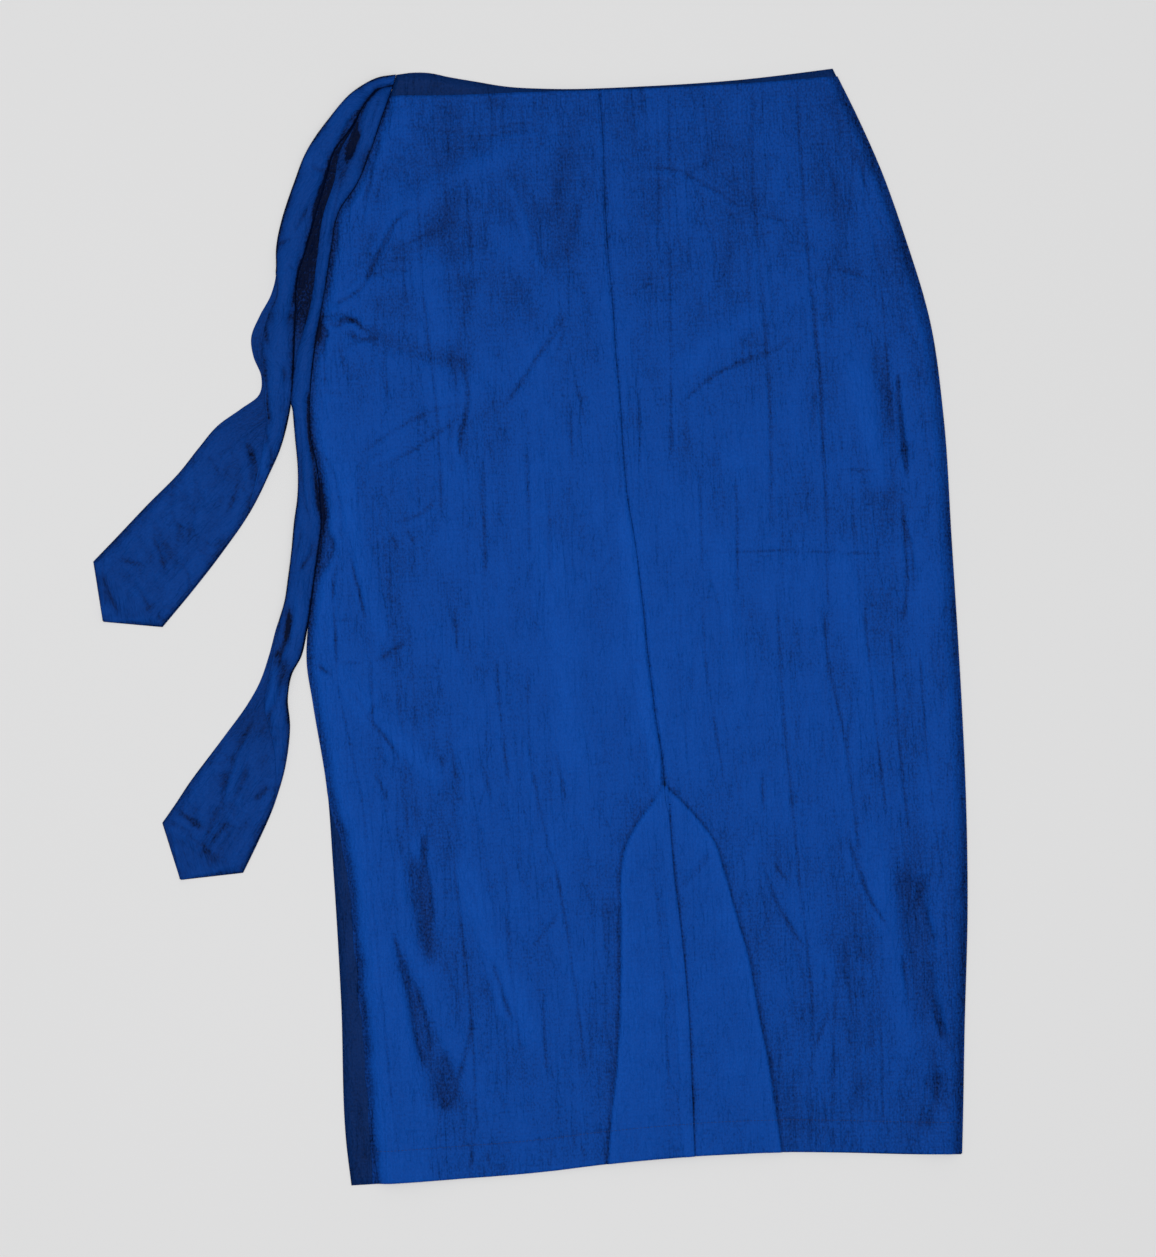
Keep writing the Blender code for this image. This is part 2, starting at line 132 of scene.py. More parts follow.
# The largest folds in the back: start x, start y, end x, end y, height (minus is a trough), half width
BROAD_FOLDS = [
    (-96, 303, 4, 348, 1.3, 9), (-120, 252, -20, 268, 1.0, 10), (-128, 226, -30, 190, -0.9, 8),
    (-84, 330, -50, 215, 1.0, 11), (-30, 345, 6, 258, 0.9, 12), (118, 182, 178, 222, 0.9, 10),
    (-134, 120, -108, -4, 1.3, 8), (-140, -30, -70, -110, 1.3, 9), (-44, 205, -40, 130, -0.8, 8),
    (262, 190, 280, 108, -1.4, 7), (244, 178, 262, 90, 1.2, 8), (230, 46, 242, -60, 0.8, 10),
    (-92, -165, -84, -236, -2.4, 8), (-108, -232, -78, -345, -2.2, 11), (-60, -170, -14, -300, 1.2, 10),
    (262, -190, 284, -360, -1.6, 10), (240, -150, 262, -330, 1.0, 9), (176, -196, 206, -262, 0.8, 9),
    (20, 60, 26, -110, 0.7, 11), (140, 60, 152, -90, 0.7, 12),
]
BROAD_FOLD_FADE = 26.0

# Long fine creases down the cloth, in pixels of the photograph
PIN_CREASES = [
    [(417, 165), (424, 300), (436, 405), (440, 463), (443, 530)],
    [(465, 170), (474, 280)],
    [(386, 357), (388, 415)],
    [(670, 98), (669, 194), (670, 290), (671, 405), (671, 463)],
    [(658, 122), (659, 261)],
    [(753, 88), (753, 180), (762, 290), (769, 386), (771, 530)],
    [(796, 88), (801, 165), (808, 256), (815, 328), (820, 386), (825, 482), (828, 626)],
    [(858, 184), (870, 228), (882, 300), (887, 362), (893, 434)],
    [(638, 386), (641, 482)], [(484, 463), (486, 578)], [(527, 444), (530, 559)], [(549, 482), (550, 578)],
    [(700, 463), (702, 578)], [(736, 472), (738, 602)], [(449, 122), (448, 163)], [(402, 252), (406, 309)],
    [(335, 624), (338, 682), (352, 749), (364, 811), (369, 869), (378, 950), (388, 1056), (398, 1157)],
    [(370, 653), (374, 739)],
    [(453, 850), (458, 898), (467, 974), (472, 1032), (477, 1133)],
    [(454, 600), (458, 662)], [(495, 648), (501, 715), (510, 792)],
    [(527, 662), (531, 758), (543, 821), (557, 874), (568, 936), (578, 1008), (587, 1080)],
    [(554, 744), (568, 811)], [(702, 600), (705, 653), (714, 720), (726, 792)],
    [(777, 600), (784, 720), (791, 792), (798, 869), (808, 955), (813, 1032), (810, 1085)],
    [(863, 600), (875, 720), (886, 816)], [(890, 624), (899, 744), (909, 840)],
    [(919, 648), (928, 768), (938, 850), (945, 936), (952, 1032), (957, 1080)],
    [(837, 946), (834, 1032), (834, 1118)], [(880, 1008), (883, 1128)], [(542, 984), (547, 1080)],
    [(762, 768), (763, 811)], [(506, 859), (509, 946), (522, 1061)],
    [(697, 552), (760, 551), (890, 554)],
]
PIN_HEIGHT = -0.55
PIN_HALF_WIDTH = 1.2

# Folds given one by one: height (minus is a trough), half width, lip on the left, then pixels of the
# photograph
FOLD_LINES = [
    # Left of the centre, upper body
    (-0.8, 1.8, 0.3, [(464, 357), (468, 405), (461, 434), (460, 463)]),
    (0.8, 2.6, 0.0, [(350, 471), (353, 508), (358, 556), (365, 588), (367, 615)]),
    (0.7, 3.5, 0.0, [(501, 174), (520, 211), (535, 261), (549, 280)]),
    (-0.5, 1.4, 0.0, [(570, 396), (573, 472)]),
    (-0.9, 3.0, 0.2, [(586, 164), (580, 204), (572, 241)]),
    (-0.6, 3.6, 0.0, [(574, 261), (585, 295), (592, 328)]),
    (-1.3, 2.0, 0.5, [(421, 207), (411, 211), (400, 218), (383, 246), (372, 269), (362, 288), (337, 304),
                      (325, 311)]),
    (-0.7, 1.7, 0.2, [(388, 92), (383, 108), (376, 127), (370, 148), (360, 181), (349, 213), (345, 244)]),
    (-0.9, 1.6, 0.3, [(374, 118), (372, 129), (367, 148), (353, 181), (342, 203), (336, 237), (331, 262)]),
    (-0.5, 1.5, 0.0, [(379, 138), (365, 195), (354, 227), (345, 251)]),
    (-0.5, 1.5, 0.0, [(390, 150), (381, 182), (372, 216)]),
    (-0.6, 1.6, 0.2, [(368, 270), (352, 284), (334, 296)]),
    (-1.3, 1.7, 0.4, [(324, 325), (337, 321), (351, 318), (360, 327), (374, 333)]),
    (-1.6, 2.4, 0.0, [(320, 322), (325, 330), (327, 342)]),
    (0.9, 3.0, 0.0, [(322, 314), (334, 311), (346, 308)]),
    (-0.7, 1.6, 0.0, [(325, 340), (325, 376), (327, 398)]),
    (-0.6, 1.5, 0.0, [(386, 344), (383, 365), (385, 398)]),
    (-0.5, 1.6, 0.0, [(404, 308), (379, 318)]),
    (-0.5, 1.5, 0.0, [(340, 352), (352, 344), (372, 340)]),
    (-0.5, 1.5, 0.0, [(394, 158), (412, 163), (430, 160)]),
    (-0.5, 1.6, 0.0, [(471, 140), (506, 133), (534, 124)]),
    (-0.5, 1.5, 0.0, [(482, 132), (510, 126), (542, 122)]),
    (0.4, 1.8, 0.0, [(498, 141), (530, 136), (549, 139)]),
    (-0.4, 1.4, 0.0, [(549, 136), (568, 135), (587, 139)]),
    (-0.6, 1.8, 0.0, [(389, 153), (400, 159), (409, 158)]),
    (-0.7, 1.8, 0.0, [(571, 304), (556, 333), (530, 369)]),
    (-0.7, 1.8, 0.2, [(564, 309), (534, 362), (501, 412)]),
    (-0.5, 1.5, 0.0, [(568, 319), (556, 357)]),
    (-0.5, 1.5, 0.0, [(572, 371), (579, 396), (588, 434)]),
    (-0.4, 1.4, 0.0, [(583, 386), (587, 405)]),
    (-0.7, 1.7, 0.0, [(357, 456), (390, 434), (420, 416), (459, 403)]),
    (-0.6, 1.6, 0.0, [(381, 470), (434, 436), (472, 408)]),
    (0.5, 2.2, 0.0, [(359, 472), (402, 448)]),
    (-0.8, 2.0, 0.2, [(395, 523), (424, 512), (439, 496)]),
    (-0.5, 1.5, 0.0, [(404, 525), (410, 535), (417, 549)]),
    (-0.5, 1.5, 0.0, [(623, 545), (611, 559), (594, 582)]),
    (-0.7, 2.4, 0.0, [(352, 559), (337, 573), (332, 607)]),
    (-0.8, 1.8, 0.3, [(342, 553), (335, 572), (333, 592), (335, 620), (338, 673)]),
    (2.0, 4.5, 0.0, [(314, 300), (322, 308), (334, 314), (342, 320)]),
    (-2.6, 3.2, 0.3, [(316, 324), (322, 332), (322, 348), (320, 362)]),
    (-1.5, 2.0, 0.4, [(326, 322), (338, 326), (350, 320), (366, 322)]),
    (-0.9, 1.8, 0.2, [(340, 330), (352, 336), (366, 340), (384, 338)]),
    (-0.8, 1.8, 0.0, [(336, 340), (342, 356), (345, 372)]),
    (-0.5, 1.5, 0.0, [(398, 127), (421, 128), (452, 133), (473, 130)]),
    (-0.5, 1.5, 0.0, [(380, 244), (400, 247), (421, 237), (440, 229)]),
    (-0.5, 1.5, 0.0, [(352, 96), (372, 104), (396, 108), (420, 104)]),
    (-0.6, 1.6, 0.0, [(366, 150), (372, 176), (366, 204), (360, 232)]),
    (-0.5, 1.5, 0.0, [(342, 268), (366, 276), (392, 270), (418, 276)]),
    (-1.4, 4.0, 0.0, [(307, 440), (316, 476), (324, 508), (326, 530)]),
    (-1.6, 4.0, 0.0, [(328, 520), (334, 545), (322, 570), (310, 580)]),
    (1.1, 3.2, 0.0, [(322, 520), (334, 532), (344, 552)]),
    (-1.0, 2.2, 0.2, [(319, 448), (334, 474), (340, 500), (342, 545)]),
    (-0.9, 1.8, 0.2, [(347, 470), (352, 500), (354, 530)]),
    (-0.9, 1.8, 0.2, [(348, 548), (355, 575), (362, 600), (367, 625)]),
    (-0.6, 1.6, 0.0, [(333, 622), (345, 620), (358, 618)]),
    (-1.0, 2.0, 0.3, [(314, 662), (324, 670), (335, 677)]),
    (-1.0, 2.2, 0.3, [(341, 684), (355, 696), (366, 710), (373, 722)]),
    (-0.9, 2.2, 0.2, [(362, 712), (378, 728), (392, 746), (402, 764)]),
    (-0.9, 2.6, 0.2, [(377, 698), (372, 712), (366, 722)]),
    (-1.0, 2.2, 0.0, [(370, 664), (384, 656), (400, 646), (412, 636)]),
    (-0.6, 1.6, 0.0, [(337, 664), (350, 663), (366, 662)]),
    (-0.8, 1.6, 0.0, [(391, 530), (396, 545), (397, 556)]),
    (-0.7, 2.2, 0.0, [(318, 380), (322, 401), (323, 428)]),
    (-0.6, 2.0, 0.0, [(323, 393), (337, 394), (350, 397)]),
    # Right of the centre, upper body
    (-0.6, 1.6, 0.0, [(678, 406), (712, 377), (738, 362), (766, 351)]),
    (-0.7, 1.8, 0.2, [(638, 167), (678, 171), (712, 189), (734, 200)]),
    (0.4, 1.8, 0.0, [(645, 176), (681, 179)]),
    (-0.6, 1.6, 0.0, [(752, 218), (772, 216), (790, 228)]),
    (-0.5, 1.5, 0.0, [(783, 244), (801, 243), (814, 250)]),
    (-0.6, 1.6, 0.0, [(831, 270), (849, 272), (863, 279)]),
    (-0.4, 1.4, 0.0, [(688, 168), (705, 164), (724, 159)]),
    (-0.4, 1.4, 0.0, [(758, 235), (774, 232)]),
    (-0.8, 2.0, 0.2, [(867, 146), (884, 196), (896, 228), (904, 243)]),
    (-0.5, 1.6, 0.0, [(832, 141), (846, 170)]),
    (-1.5, 2.0, 0.5, [(897, 367), (899, 400), (903, 440), (907, 482)]),
    (-0.6, 1.6, 0.2, [(858, 158), (868, 195), (880, 222), (897, 244)]),
    (-0.6, 1.6, 0.2, [(823, 146), (832, 176), (836, 198)]),
    (-0.5, 1.5, 0.0, [(862, 190), (872, 224), (880, 262), (889, 300)]),
    (-0.6, 2.2, 0.0, [(903, 250), (912, 290), (921, 322), (930, 350)]),
    (-0.6, 1.8, 0.2, [(905, 352), (918, 372), (934, 395)]),
    (-0.5, 1.6, 0.0, [(922, 400), (926, 440), (934, 480)]),
    (-0.9, 2.0, 0.2, [(905, 520), (912, 555), (913, 600)]),
    (-0.8, 2.2, 0.0, [(938, 570), (944, 610), (947, 640)]),
    (-0.5, 1.5, 0.0, [(694, 388), (720, 372), (762, 356), (800, 334)]),
    (-0.4, 1.5, 0.0, [(800, 334), (826, 336), (850, 342)]),
    (-0.5, 1.5, 0.0, [(757, 214), (776, 219), (800, 222)]),
    (-0.5, 1.5, 0.0, [(785, 250), (806, 250), (822, 244)]),
    (-0.4, 1.4, 0.0, [(842, 268), (862, 276), (880, 282)]),
    (-0.5, 1.5, 0.0, [(720, 196), (732, 202), (744, 208)]),
    (-0.5, 1.5, 0.0, [(611, 92), (613, 104), (616, 116)]),
    (-0.9, 2.0, 0.2, [(901, 492), (904, 530), (907, 578), (903, 626)]),
    (-0.4, 1.4, 0.0, [(827, 467), (890, 472)]),
    (-0.4, 1.4, 0.0, [(828, 478), (873, 468)]),
    # Left of the centre, lower body
    (-1.9, 2.6, 0.5, [(424, 830), (425, 869), (431, 926)]),
    (-1.5, 3.0, 0.4, [(392, 926), (404, 970), (412, 998), (416, 1032), (426, 1070)]),
    (-1.0, 2.4, 0.0, [(411, 974), (423, 1008), (433, 1056)]),
    (-1.6, 4.5, 0.0, [(442, 1042), (449, 1080), (446, 1114)]),
    (-0.7, 2.0, 0.0, [(459, 869), (471, 888), (480, 917)]),
    (-1.0, 2.0, 0.3, [(491, 955), (503, 994), (515, 1027)]),
    (-0.9, 2.6, 0.0, [(474, 1013), (461, 1070), (447, 1106)]),
    (-0.7, 2.0, 0.0, [(371, 763), (391, 806)]),
    (-0.5, 1.6, 0.0, [(482, 758), (492, 802)]),
    (-0.5, 1.6, 0.0, [(651, 706), (665, 719)]),
    (-0.4, 1.5, 0.0, [(629, 663), (646, 657)]),
    (-0.5, 1.6, 0.0, [(526, 955), (564, 907)]),
    # On the pleat
    (0.5, 2.0, 0.0, [(664, 878), (678, 1008), (683, 1128)]),
    (-0.5, 1.6, 0.0, [(654, 868), (666, 1000), (668, 1100)]),
    (-0.9, 2.2, 0.2, [(673, 891), (688, 879), (703, 862), (713, 844)]),
    # Right of the centre, lower body
    (-0.45, 1.4, 0.1, [(822, 600), (828, 662), (846, 744), (856, 830), (867, 893), (890, 931)]),
    (-0.7, 1.8, 0.0, [(765, 869), (779, 907), (798, 938), (808, 955)]),
    (-0.6, 1.6, 0.0, [(770, 859), (790, 884)]),
    (-0.8, 2.2, 0.0, [(846, 830), (870, 898), (891, 931)]),
    (-2.0, 6.0, 0.0, [(919, 868), (926, 936), (934, 994), (944, 1050)]),
    (-1.0, 1.9, 0.3, [(915, 876), (921, 905), (929, 925), (936, 950)]),
    (-0.9, 1.8, 0.2, [(901, 950), (905, 975), (909, 1008)]),
    (-1.0, 1.9, 0.3, [(932, 995), (937, 1020), (948, 1048)]),
    (-1.6, 6.0, 0.0, [(938, 1060), (934, 1100), (925, 1140)]),
    (-0.6, 1.8, 0.0, [(928, 1068), (924, 1100), (916, 1140)]),
    (-1.2, 2.6, 0.0, [(928, 984), (950, 1046)]),
    (-1.0, 4.0, 0.0, [(933, 1032), (937, 1118)]),
    (-0.6, 1.6, 0.0, [(822, 960), (828, 984)]),
    (-0.7, 1.8, 0.0, [(833, 998), (812, 1056)]),
    # Short puckers in the hem
    (-0.5, 1.6, 0.0, [(371, 1152), (369, 1178)]), (-0.5, 1.6, 0.0, [(409, 1152), (406, 1176)]),
    (-0.5, 1.6, 0.0, [(429, 1151), (432, 1174)]), (-0.5, 1.6, 0.0, [(472, 1147), (470, 1171)]),
    (-0.5, 1.6, 0.0, [(487, 1147), (490, 1169)]), (-0.5, 1.6, 0.0, [(554, 1142), (549, 1166)]),
    (-0.5, 1.6, 0.0, [(581, 1140), (587, 1163)]), (-0.7, 1.8, 0.2, [(718, 1124), (707, 1152)]),
    (-0.5, 1.6, 0.0, [(638, 1130), (635, 1157)]), (-0.5, 1.6, 0.0, [(832, 1124), (834, 1147)]),
]
FOLD_END_FADE = 14.0

# The centre back seam: y, depth of its groove and height of the lip on its left
SEAM_RELIEF = [(400, 0.7, 0.2), (250, 0.6, 0.4), (60, 0.7, 0.6), (-20, 1.0, 0.9), (-130, 1.2, 1.1)]
SEAM_HALF_WIDTH = 1.6
SEAM_LIP_WIDTH = 6.0

# The hem's stitching: y above the hem
HEM_DEPTH = 24.0
STITCH_PITCH = 2.6

# The ties, a row for each section: outer x, outer y, inner x, inner y, share of the width that the top ply
# leaves bare
TIE_UPPER = [
    (-78.1, 407.5, -80.4, 400.1, 0), (-91, 406, -91, 398, 0), (-109, 397, -101, 388.5, 0),
    (-128, 378, -112, 372, 0), (-146, 354, -127, 353, 0), (-156, 332, -133, 334, 0),
    (-166, 306, -141, 311, 0), (-171, 285, -150, 284, 0),
    (-172, 269, -156, 268, 0), (-177, 252, -159, 253, 0.28), (-186, 237, -160, 237, 0.26),
    (-193, 221, -161.5, 220, 0.29), (-192, 208, -162.5, 207, 0.22), (-187, 193, -164, 192, 0.08),
    (-189, 180, -166, 176, 0.2), (-203, 170, -170, 158, 0.57), (-220, 159, -176, 140, 0.75),
    (-236, 142, -186, 120, 0.87), (-249, 127, -198, 98, 0.96), (-275, 103, -222, 66, 1),
    (-299, 80, -246, 38, 1), (-316, 64, -268, 14, 1),
]
TIE_UPPER_TIP = (-311, 20)
TIE_LOWER = [
    (-80.5, 399.8, -82.2, 396.2, 0), (-95.5, 390, -89.6, 381.3, 0), (-105, 379.5, -92.7, 373, 0.05),
    (-114.2, 366.5, -97.4, 361, 0.12), (-125.8, 351, -105.2, 345, 0.2), (-131.4, 334, -114.4, 328, 0.3),
    (-138.6, 313.5, -125.5, 312, 0.36), (-146, 291.5, -131.5, 290, 0.46), (-153, 272, -135.1, 272, 0.58),
    (-157.4, 256, -138, 255, 0.62), (-158.6, 239.5, -142.1, 237, 0.56), (-160, 224, -145.5, 222, 0.4),
    (-161.2, 207, -148.6, 205, 0.15), (-164.5, 172, -153, 172, 0), (-164, 150, -153.9, 147, 0),
    (-163, 123, -149.9, 123, 0), (-164.5, 102, -149.3, 100, 0), (-167.5, 86, -149, 83, 0),
    (-170.5, 65, -152, 66, 0), (-174, 45, -156.3, 42, 0), (-178, 26, -160.2, 20, 0), (-185, 9, -164, 2, 0.05),
    (-191, -10, -168, -12, 0.15), (-199, -30, -176, -26, 0.3), (-209, -46, -179.5, -42, 0.45),
    (-225, -66, -179, -64, 0.7), (-240, -84, -184, -93, 0.9), (-254, -101, -194, -122, 1),
    (-265, -116, -206, -146, 1), (-275, -129, -218, -168, 1),
]
TIE_LOWER_TIP = (-264, -171)
TIE_LAYER_STEP = 0.62
TIE_CROWN = 2.3

# Folds in the ties, as in FOLD_LINES
TIE_FOLD_LINES = [
    # Upper tie, from the waist down
    (-0.9, 1.8, 0.3, [(350, 61), (366, 68), (384, 67)]),
    (1.4, 3.2, 0.0, [(362, 74), (352, 92), (342, 108)]),
    (-1.6, 2.0, 0.3, [(371, 92), (364, 108), (352, 118), (343, 134), (336, 150)]),
    (-2.2, 2.4, 0.4, [(334, 150), (331, 172), (322, 192), (316, 208), (311, 226)]),
    (-1.8, 2.2, 0.5, [(313, 198), (304, 216), (297, 228), (290, 240)]),
    (1.5, 3.4, 0.0, [(322, 170), (314, 190), (308, 206)]),
    (-0.8, 1.8, 0.0, [(310, 164), (318, 170), (326, 172)]),
    (-1.0, 1.8, 0.0, [(296, 238), (284, 242), (278, 248)]),
    (-0.9, 1.8, 0.0, [(288, 264), (296, 272)]),
    (-1.4, 2.2, 0.4, [(300, 246), (299, 276), (291, 310), (287, 338)]),
    (1.2, 3.0, 0.0, [(284, 262), (281, 300), (277, 336)]),
    (-1.0, 2.0, 0.2, [(262, 318), (266, 334), (270, 352)]),
    (-1.8, 2.2, 0.0, [(262, 348), (268, 410), (273, 431)]),
    (-1.2, 2.2, 0.3, [(284, 356), (284, 392), (280, 426)]),
    (-2.2, 3.0, 0.5, [(247, 436), (252, 452), (258, 474), (260, 492)]),
    (1.6, 2.6, 0.0, [(255, 436), (262, 462), (268, 482)]),
    (-0.9, 2.0, 0.2, [(262, 424), (270, 446), (272, 470)]),
    (-0.9, 2.2, 0.0, [(240, 472), (234, 498), (222, 520)]),
    (-0.8, 1.8, 0.0, [(205, 452), (214, 464), (222, 480)]),
    (-0.6, 1.5, 0.0, [(172, 520), (182, 528), (196, 530)]),
    (-0.7, 1.6, 0.2, [(148, 528), (160, 552), (168, 580)]),
    (-0.6, 1.5, 0.0, [(180, 560), (188, 574), (190, 590)]),
    (-1.6, 3.0, 0.4, [(100, 562), (105, 580), (112, 600), (122, 620)]),
    (-0.8, 2.0, 0.3, [(132, 575), (144, 598), (156, 618)]),
    (-0.6, 1.6, 0.0, [(118, 556), (134, 564), (150, 562)]),
    # Lower tie
    (-3.0, 3.4, 0.0, [(366, 122), (360, 134), (353, 150), (346, 168)]),
    (-1.6, 2.0, 0.3, [(384, 88), (378, 104), (372, 124), (366, 140)]),
    (-1.2, 1.6, 0.0, [(345, 172), (337, 200), (330, 236), (325, 262)]),
    (-1.2, 1.6, 0.0, [(331, 200), (325, 232), (322, 262), (318, 292)]),
    (-2.4, 2.6, 0.4, [(309, 384), (309, 428), (314, 470), (318, 500), (321, 522)]),
    (-1.6, 2.0, 0.3, [(299, 404), (302, 450), (303, 480), (309, 514), (315, 526)]),
    (-2.0, 2.6, 0.6, [(311, 532), (312, 550), (303, 566), (296, 580)]),
    (-1.4, 2.2, 0.3, [(304, 520), (298, 550), (292, 580)]),
    (-1.6, 2.4, 0.4, [(294, 592), (294, 612), (288, 636), (288, 652)]),
    (1.4, 3.0, 0.0, [(300, 566), (302, 592), (301, 616)]),
    (-2.6, 3.0, 0.0, [(290, 598), (288, 630), (281, 655), (278, 676)]),
    (-1.4, 2.0, 0.4, [(269, 656), (281, 652), (287, 640)]),
    (1.8, 2.4, 0.0, [(277, 664), (273, 691), (262, 716), (250, 740), (241, 762), (231, 786), (224, 806)]),
    (-1.4, 2.2, 0.0, [(281, 672), (279, 696), (266, 722), (256, 746)]),
    (-1.0, 2.6, 0.2, [(240, 712), (236, 738), (230, 756)]),
    (-1.0, 2.4, 0.3, [(250, 758), (244, 778), (236, 796), (228, 812)]),
    (-1.5, 2.4, 0.5, [(176, 806), (186, 816), (196, 824), (206, 830)]),
    (-0.8, 1.8, 0.3, [(166, 820), (180, 826), (196, 836)]),
    (-0.9, 2.2, 0.2, [(232, 776), (224, 800), (212, 822), (206, 842), (198, 868)]),
    (-0.8, 1.8, 0.0, [(236, 814), (224, 826), (210, 846), (206, 866)]),
    (-0.8, 1.8, 0.2, [(250, 806), (262, 794), (272, 782)]),
]

# Painted shadows (above 0) and painted highlights on ridges (below 0) that the eye reads first: FOLD_LINES,
# with a tone for a height
TIE_PAINTED_LIGHT_AND_SHADE = [
    (2.6, 3.6, 0.0, [(365, 110), (357, 128), (351, 146), (347, 162), (339, 184), (335, 196)]),
    (1.6, 1.8, 0.0, [(333, 158), (325, 186), (318, 213), (313, 248)]),
    (1.5, 2.2, 0.0, [(346, 74), (358, 84), (366, 98)]),
    (1.3, 2.0, 0.0, [(378, 78), (374, 96), (368, 108)]),
    (-0.9, 3.0, 0.0, [(350, 92), (338, 112), (330, 132)]),
    (1.5, 2.4, 0.0, [(247, 440), (251, 466), (253, 494)]),
    (-1.3, 2.8, 0.0, [(262, 432), (263, 462), (264, 490)]),
    (1.3, 2.2, 0.0, [(272, 436), (272, 462), (270, 482)]),
    (0.9, 3.4, 0.0, [(236, 452), (224, 476), (206, 498)]),
    (1.5, 3.4, 0.0, [(98, 568), (103, 588), (110, 612)]),
    (0.9, 3.4, 0.0, [(142, 604), (152, 613), (162, 616)]),
    (0.9, 2.6, 0.0, [(116, 554), (134, 564), (152, 560)]),
    (0.8, 3.6, 0.0, [(150, 524), (166, 546), (176, 570)]),
    (-0.7, 3.4, 0.0, [(176, 500), (190, 520), (204, 536)]),
    (-0.7, 3.4, 0.0, [(126, 580), (138, 590), (140, 604)]),
    (1.7, 2.6, 0.0, [(289, 598), (287, 622), (283, 646)]),
    (-1.1, 2.8, 0.0, [(297, 588), (298, 612), (296, 642)]),
    (2.4, 4.8, 0.0, [(288, 650), (285, 668), (279, 692)]),
    (-1.5, 2.0, 0.0, [(276, 656), (271, 696), (248, 742), (233, 780), (224, 806)]),
    (1.3, 2.8, 0.0, [(260, 712), (242, 742), (228, 772), (218, 800)]),
    (1.1, 3.6, 0.0, [(287, 692), (288, 714), (284, 736)]),
    (1.6, 2.2, 0.0, [(172, 808), (188, 818), (208, 831)]),
    (1.2, 3.4, 0.0, [(205, 842), (212, 856), (221, 869)]),
    (0.9, 2.8, 0.0, [(248, 802), (262, 791), (274, 778)]),
    (-0.7, 4.0, 0.0, [(248, 770), (254, 750), (264, 730)]),
]
# Painted shadows and painted highlights on the back, as above
BACK_PAINTED_LIGHT_AND_SHADE = [
    (2.2, 4.6, 0.0, [(311, 316), (318, 330), (317, 348)]),
    (1.4, 1.9, 0.0, [(323, 323), (334, 316), (344, 314), (354, 322), (368, 330)]),
    (-0.9, 4.2, 0.0, [(320, 292), (325, 304), (322, 314)]),
    (1.2, 4.2, 0.0, [(316, 470), (323, 508), (328, 540), (318, 572)]),
    (0.8, 3.0, 0.0, [(312, 436), (322, 462), (331, 492), (336, 524)]),
    (-0.7, 4.0, 0.0, [(344, 452), (349, 492), (351, 530)]),
    (1.0, 1.5, 0.0, [(378, 124), (366, 158), (352, 192), (344, 220)]),
    (0.8, 1.5, 0.0, [(382, 128), (374, 168), (364, 204)]),
    (0.9, 1.6, 0.0, [(384, 100), (378, 120), (374, 136)]),
    (0.8, 1.8, 0.0, [(336, 236), (332, 268), (326, 300)]),
    (0.5, 7.0, 0.0, [(568, 110), (563, 160), (565, 220), (571, 300)]),
    (0.5, 6.0, 0.0, [(440, 440), (470, 424), (505, 398), (540, 368)]),
    (-0.4, 7.0, 0.0, [(430, 400), (465, 388), (505, 360)]),
    (0.5, 7.0, 0.0, [(352, 268), (390, 258), (430, 236), (462, 208)]),
    (-0.4, 8.0, 0.0, [(372, 236), (404, 224), (440, 196)]),
]


# Places and curves


def from_photo(px, py):
    """A pixel of the photograph as (x, y) in the tables' millimetres."""
    right = (px - PHOTO_ORIGIN[0]) * PHOTO_MM_PER_PIXEL
    up = (PHOTO_ORIGIN[1] - py) * PHOTO_MM_PER_PIXEL
    cosine, sine = math.cos(PHOTO_TURN), math.sin(PHOTO_TURN)
    return right * cosine + up * sine, up * cosine - right * sine


def smooth_line(keys, values):
    """A smooth curve through the rows, as a function of the key."""
    order = np.argsort(keys)
    knots = np.asarray(keys, float)[order]
    heights = np.asarray(values, float)[order]
    slopes = np.gradient(heights, knots)

    def value_at(key):
        key = np.clip(key, knots[0], knots[-1])
        i = np.clip(np.searchsorted(knots, key) - 1, 0, len(knots) - 2)
        span = knots[i + 1] - knots[i]
        s = (key - knots[i]) / span
        rise = (3 - 2 * s) * s * s
        lead_in = s * (1 - s) ** 2 * span * slopes[i]
        lead_out = s * s * (s - 1) * span * slopes[i + 1]
        return heights[i] + (heights[i + 1] - heights[i]) * rise + lead_in + lead_out

    return value_at


def column(rows, key, value):
    """A smooth curve of one column of a table over another."""
    return smooth_line([row[key] for row in rows], [row[value] for row in rows])


left_x = column(LEFT_EDGE, 1, 0)
right_x = column(RIGHT_EDGE, 1, 0)
centre_x = column(CENTRE_LINE, 1, 0)
back_waist_y = column(BACK_WAIST, 0, 1)
front_waist_y = column(FRONT_WAIST, 0, 1)
hem_y = column(HEM, 0, 1)
pleat_left_x = column(PLEAT_LINES, 0, 1)
pleat_right_x = column(PLEAT_LINES, 0, 2)
back_left_inset = column(BACK_LEFT_INSETS, 0, 1)
left_roll = column(SIDE_ROLLS, 0, 1)
right_roll = column(SIDE_ROLLS, 0, 2)
seam_depth = column(SEAM_RELIEF, 0, 1)
seam_lip = column(SEAM_RELIEF, 0, 2)


def back_left_x(y):
    """x of the back's left edge, uneven where it lies inside the front's."""
    inset = np.maximum(back_left_inset(y), 0.0)
    return left_x(y) + inset + np.minimum(inset / 6, 1) * BACK_LEFT_UNEVEN * cloth_noise(y, y * 0, 19, 5, 51)


def ease(value):
    """0 to 1 with level ends."""
    value = np.clip(value, 0.0, 1.0)
    return value * value * (3 - 2 * value)


def bell(value):
    """1 at 0, falling to nothing at about 2."""
    return np.exp(-value * value)


def valley(value):
    """1 at 0, falling away on both sides of a nearly sharp line."""
    return np.exp(-1.3 * (np.sqrt(value * value + 0.16) - 0.4))


# Relief of the cloth

NOISE_SIZE = 256
NOISE_START = 1000
NOISE_GAIN = 1.5

# The crushed finish: height, cell across, cell along, seed
CRUSH_WAVES = [(0.45, 46, 120, 3), (0.28, 21, 44, 5), (0.10, 7, 15, 7)]
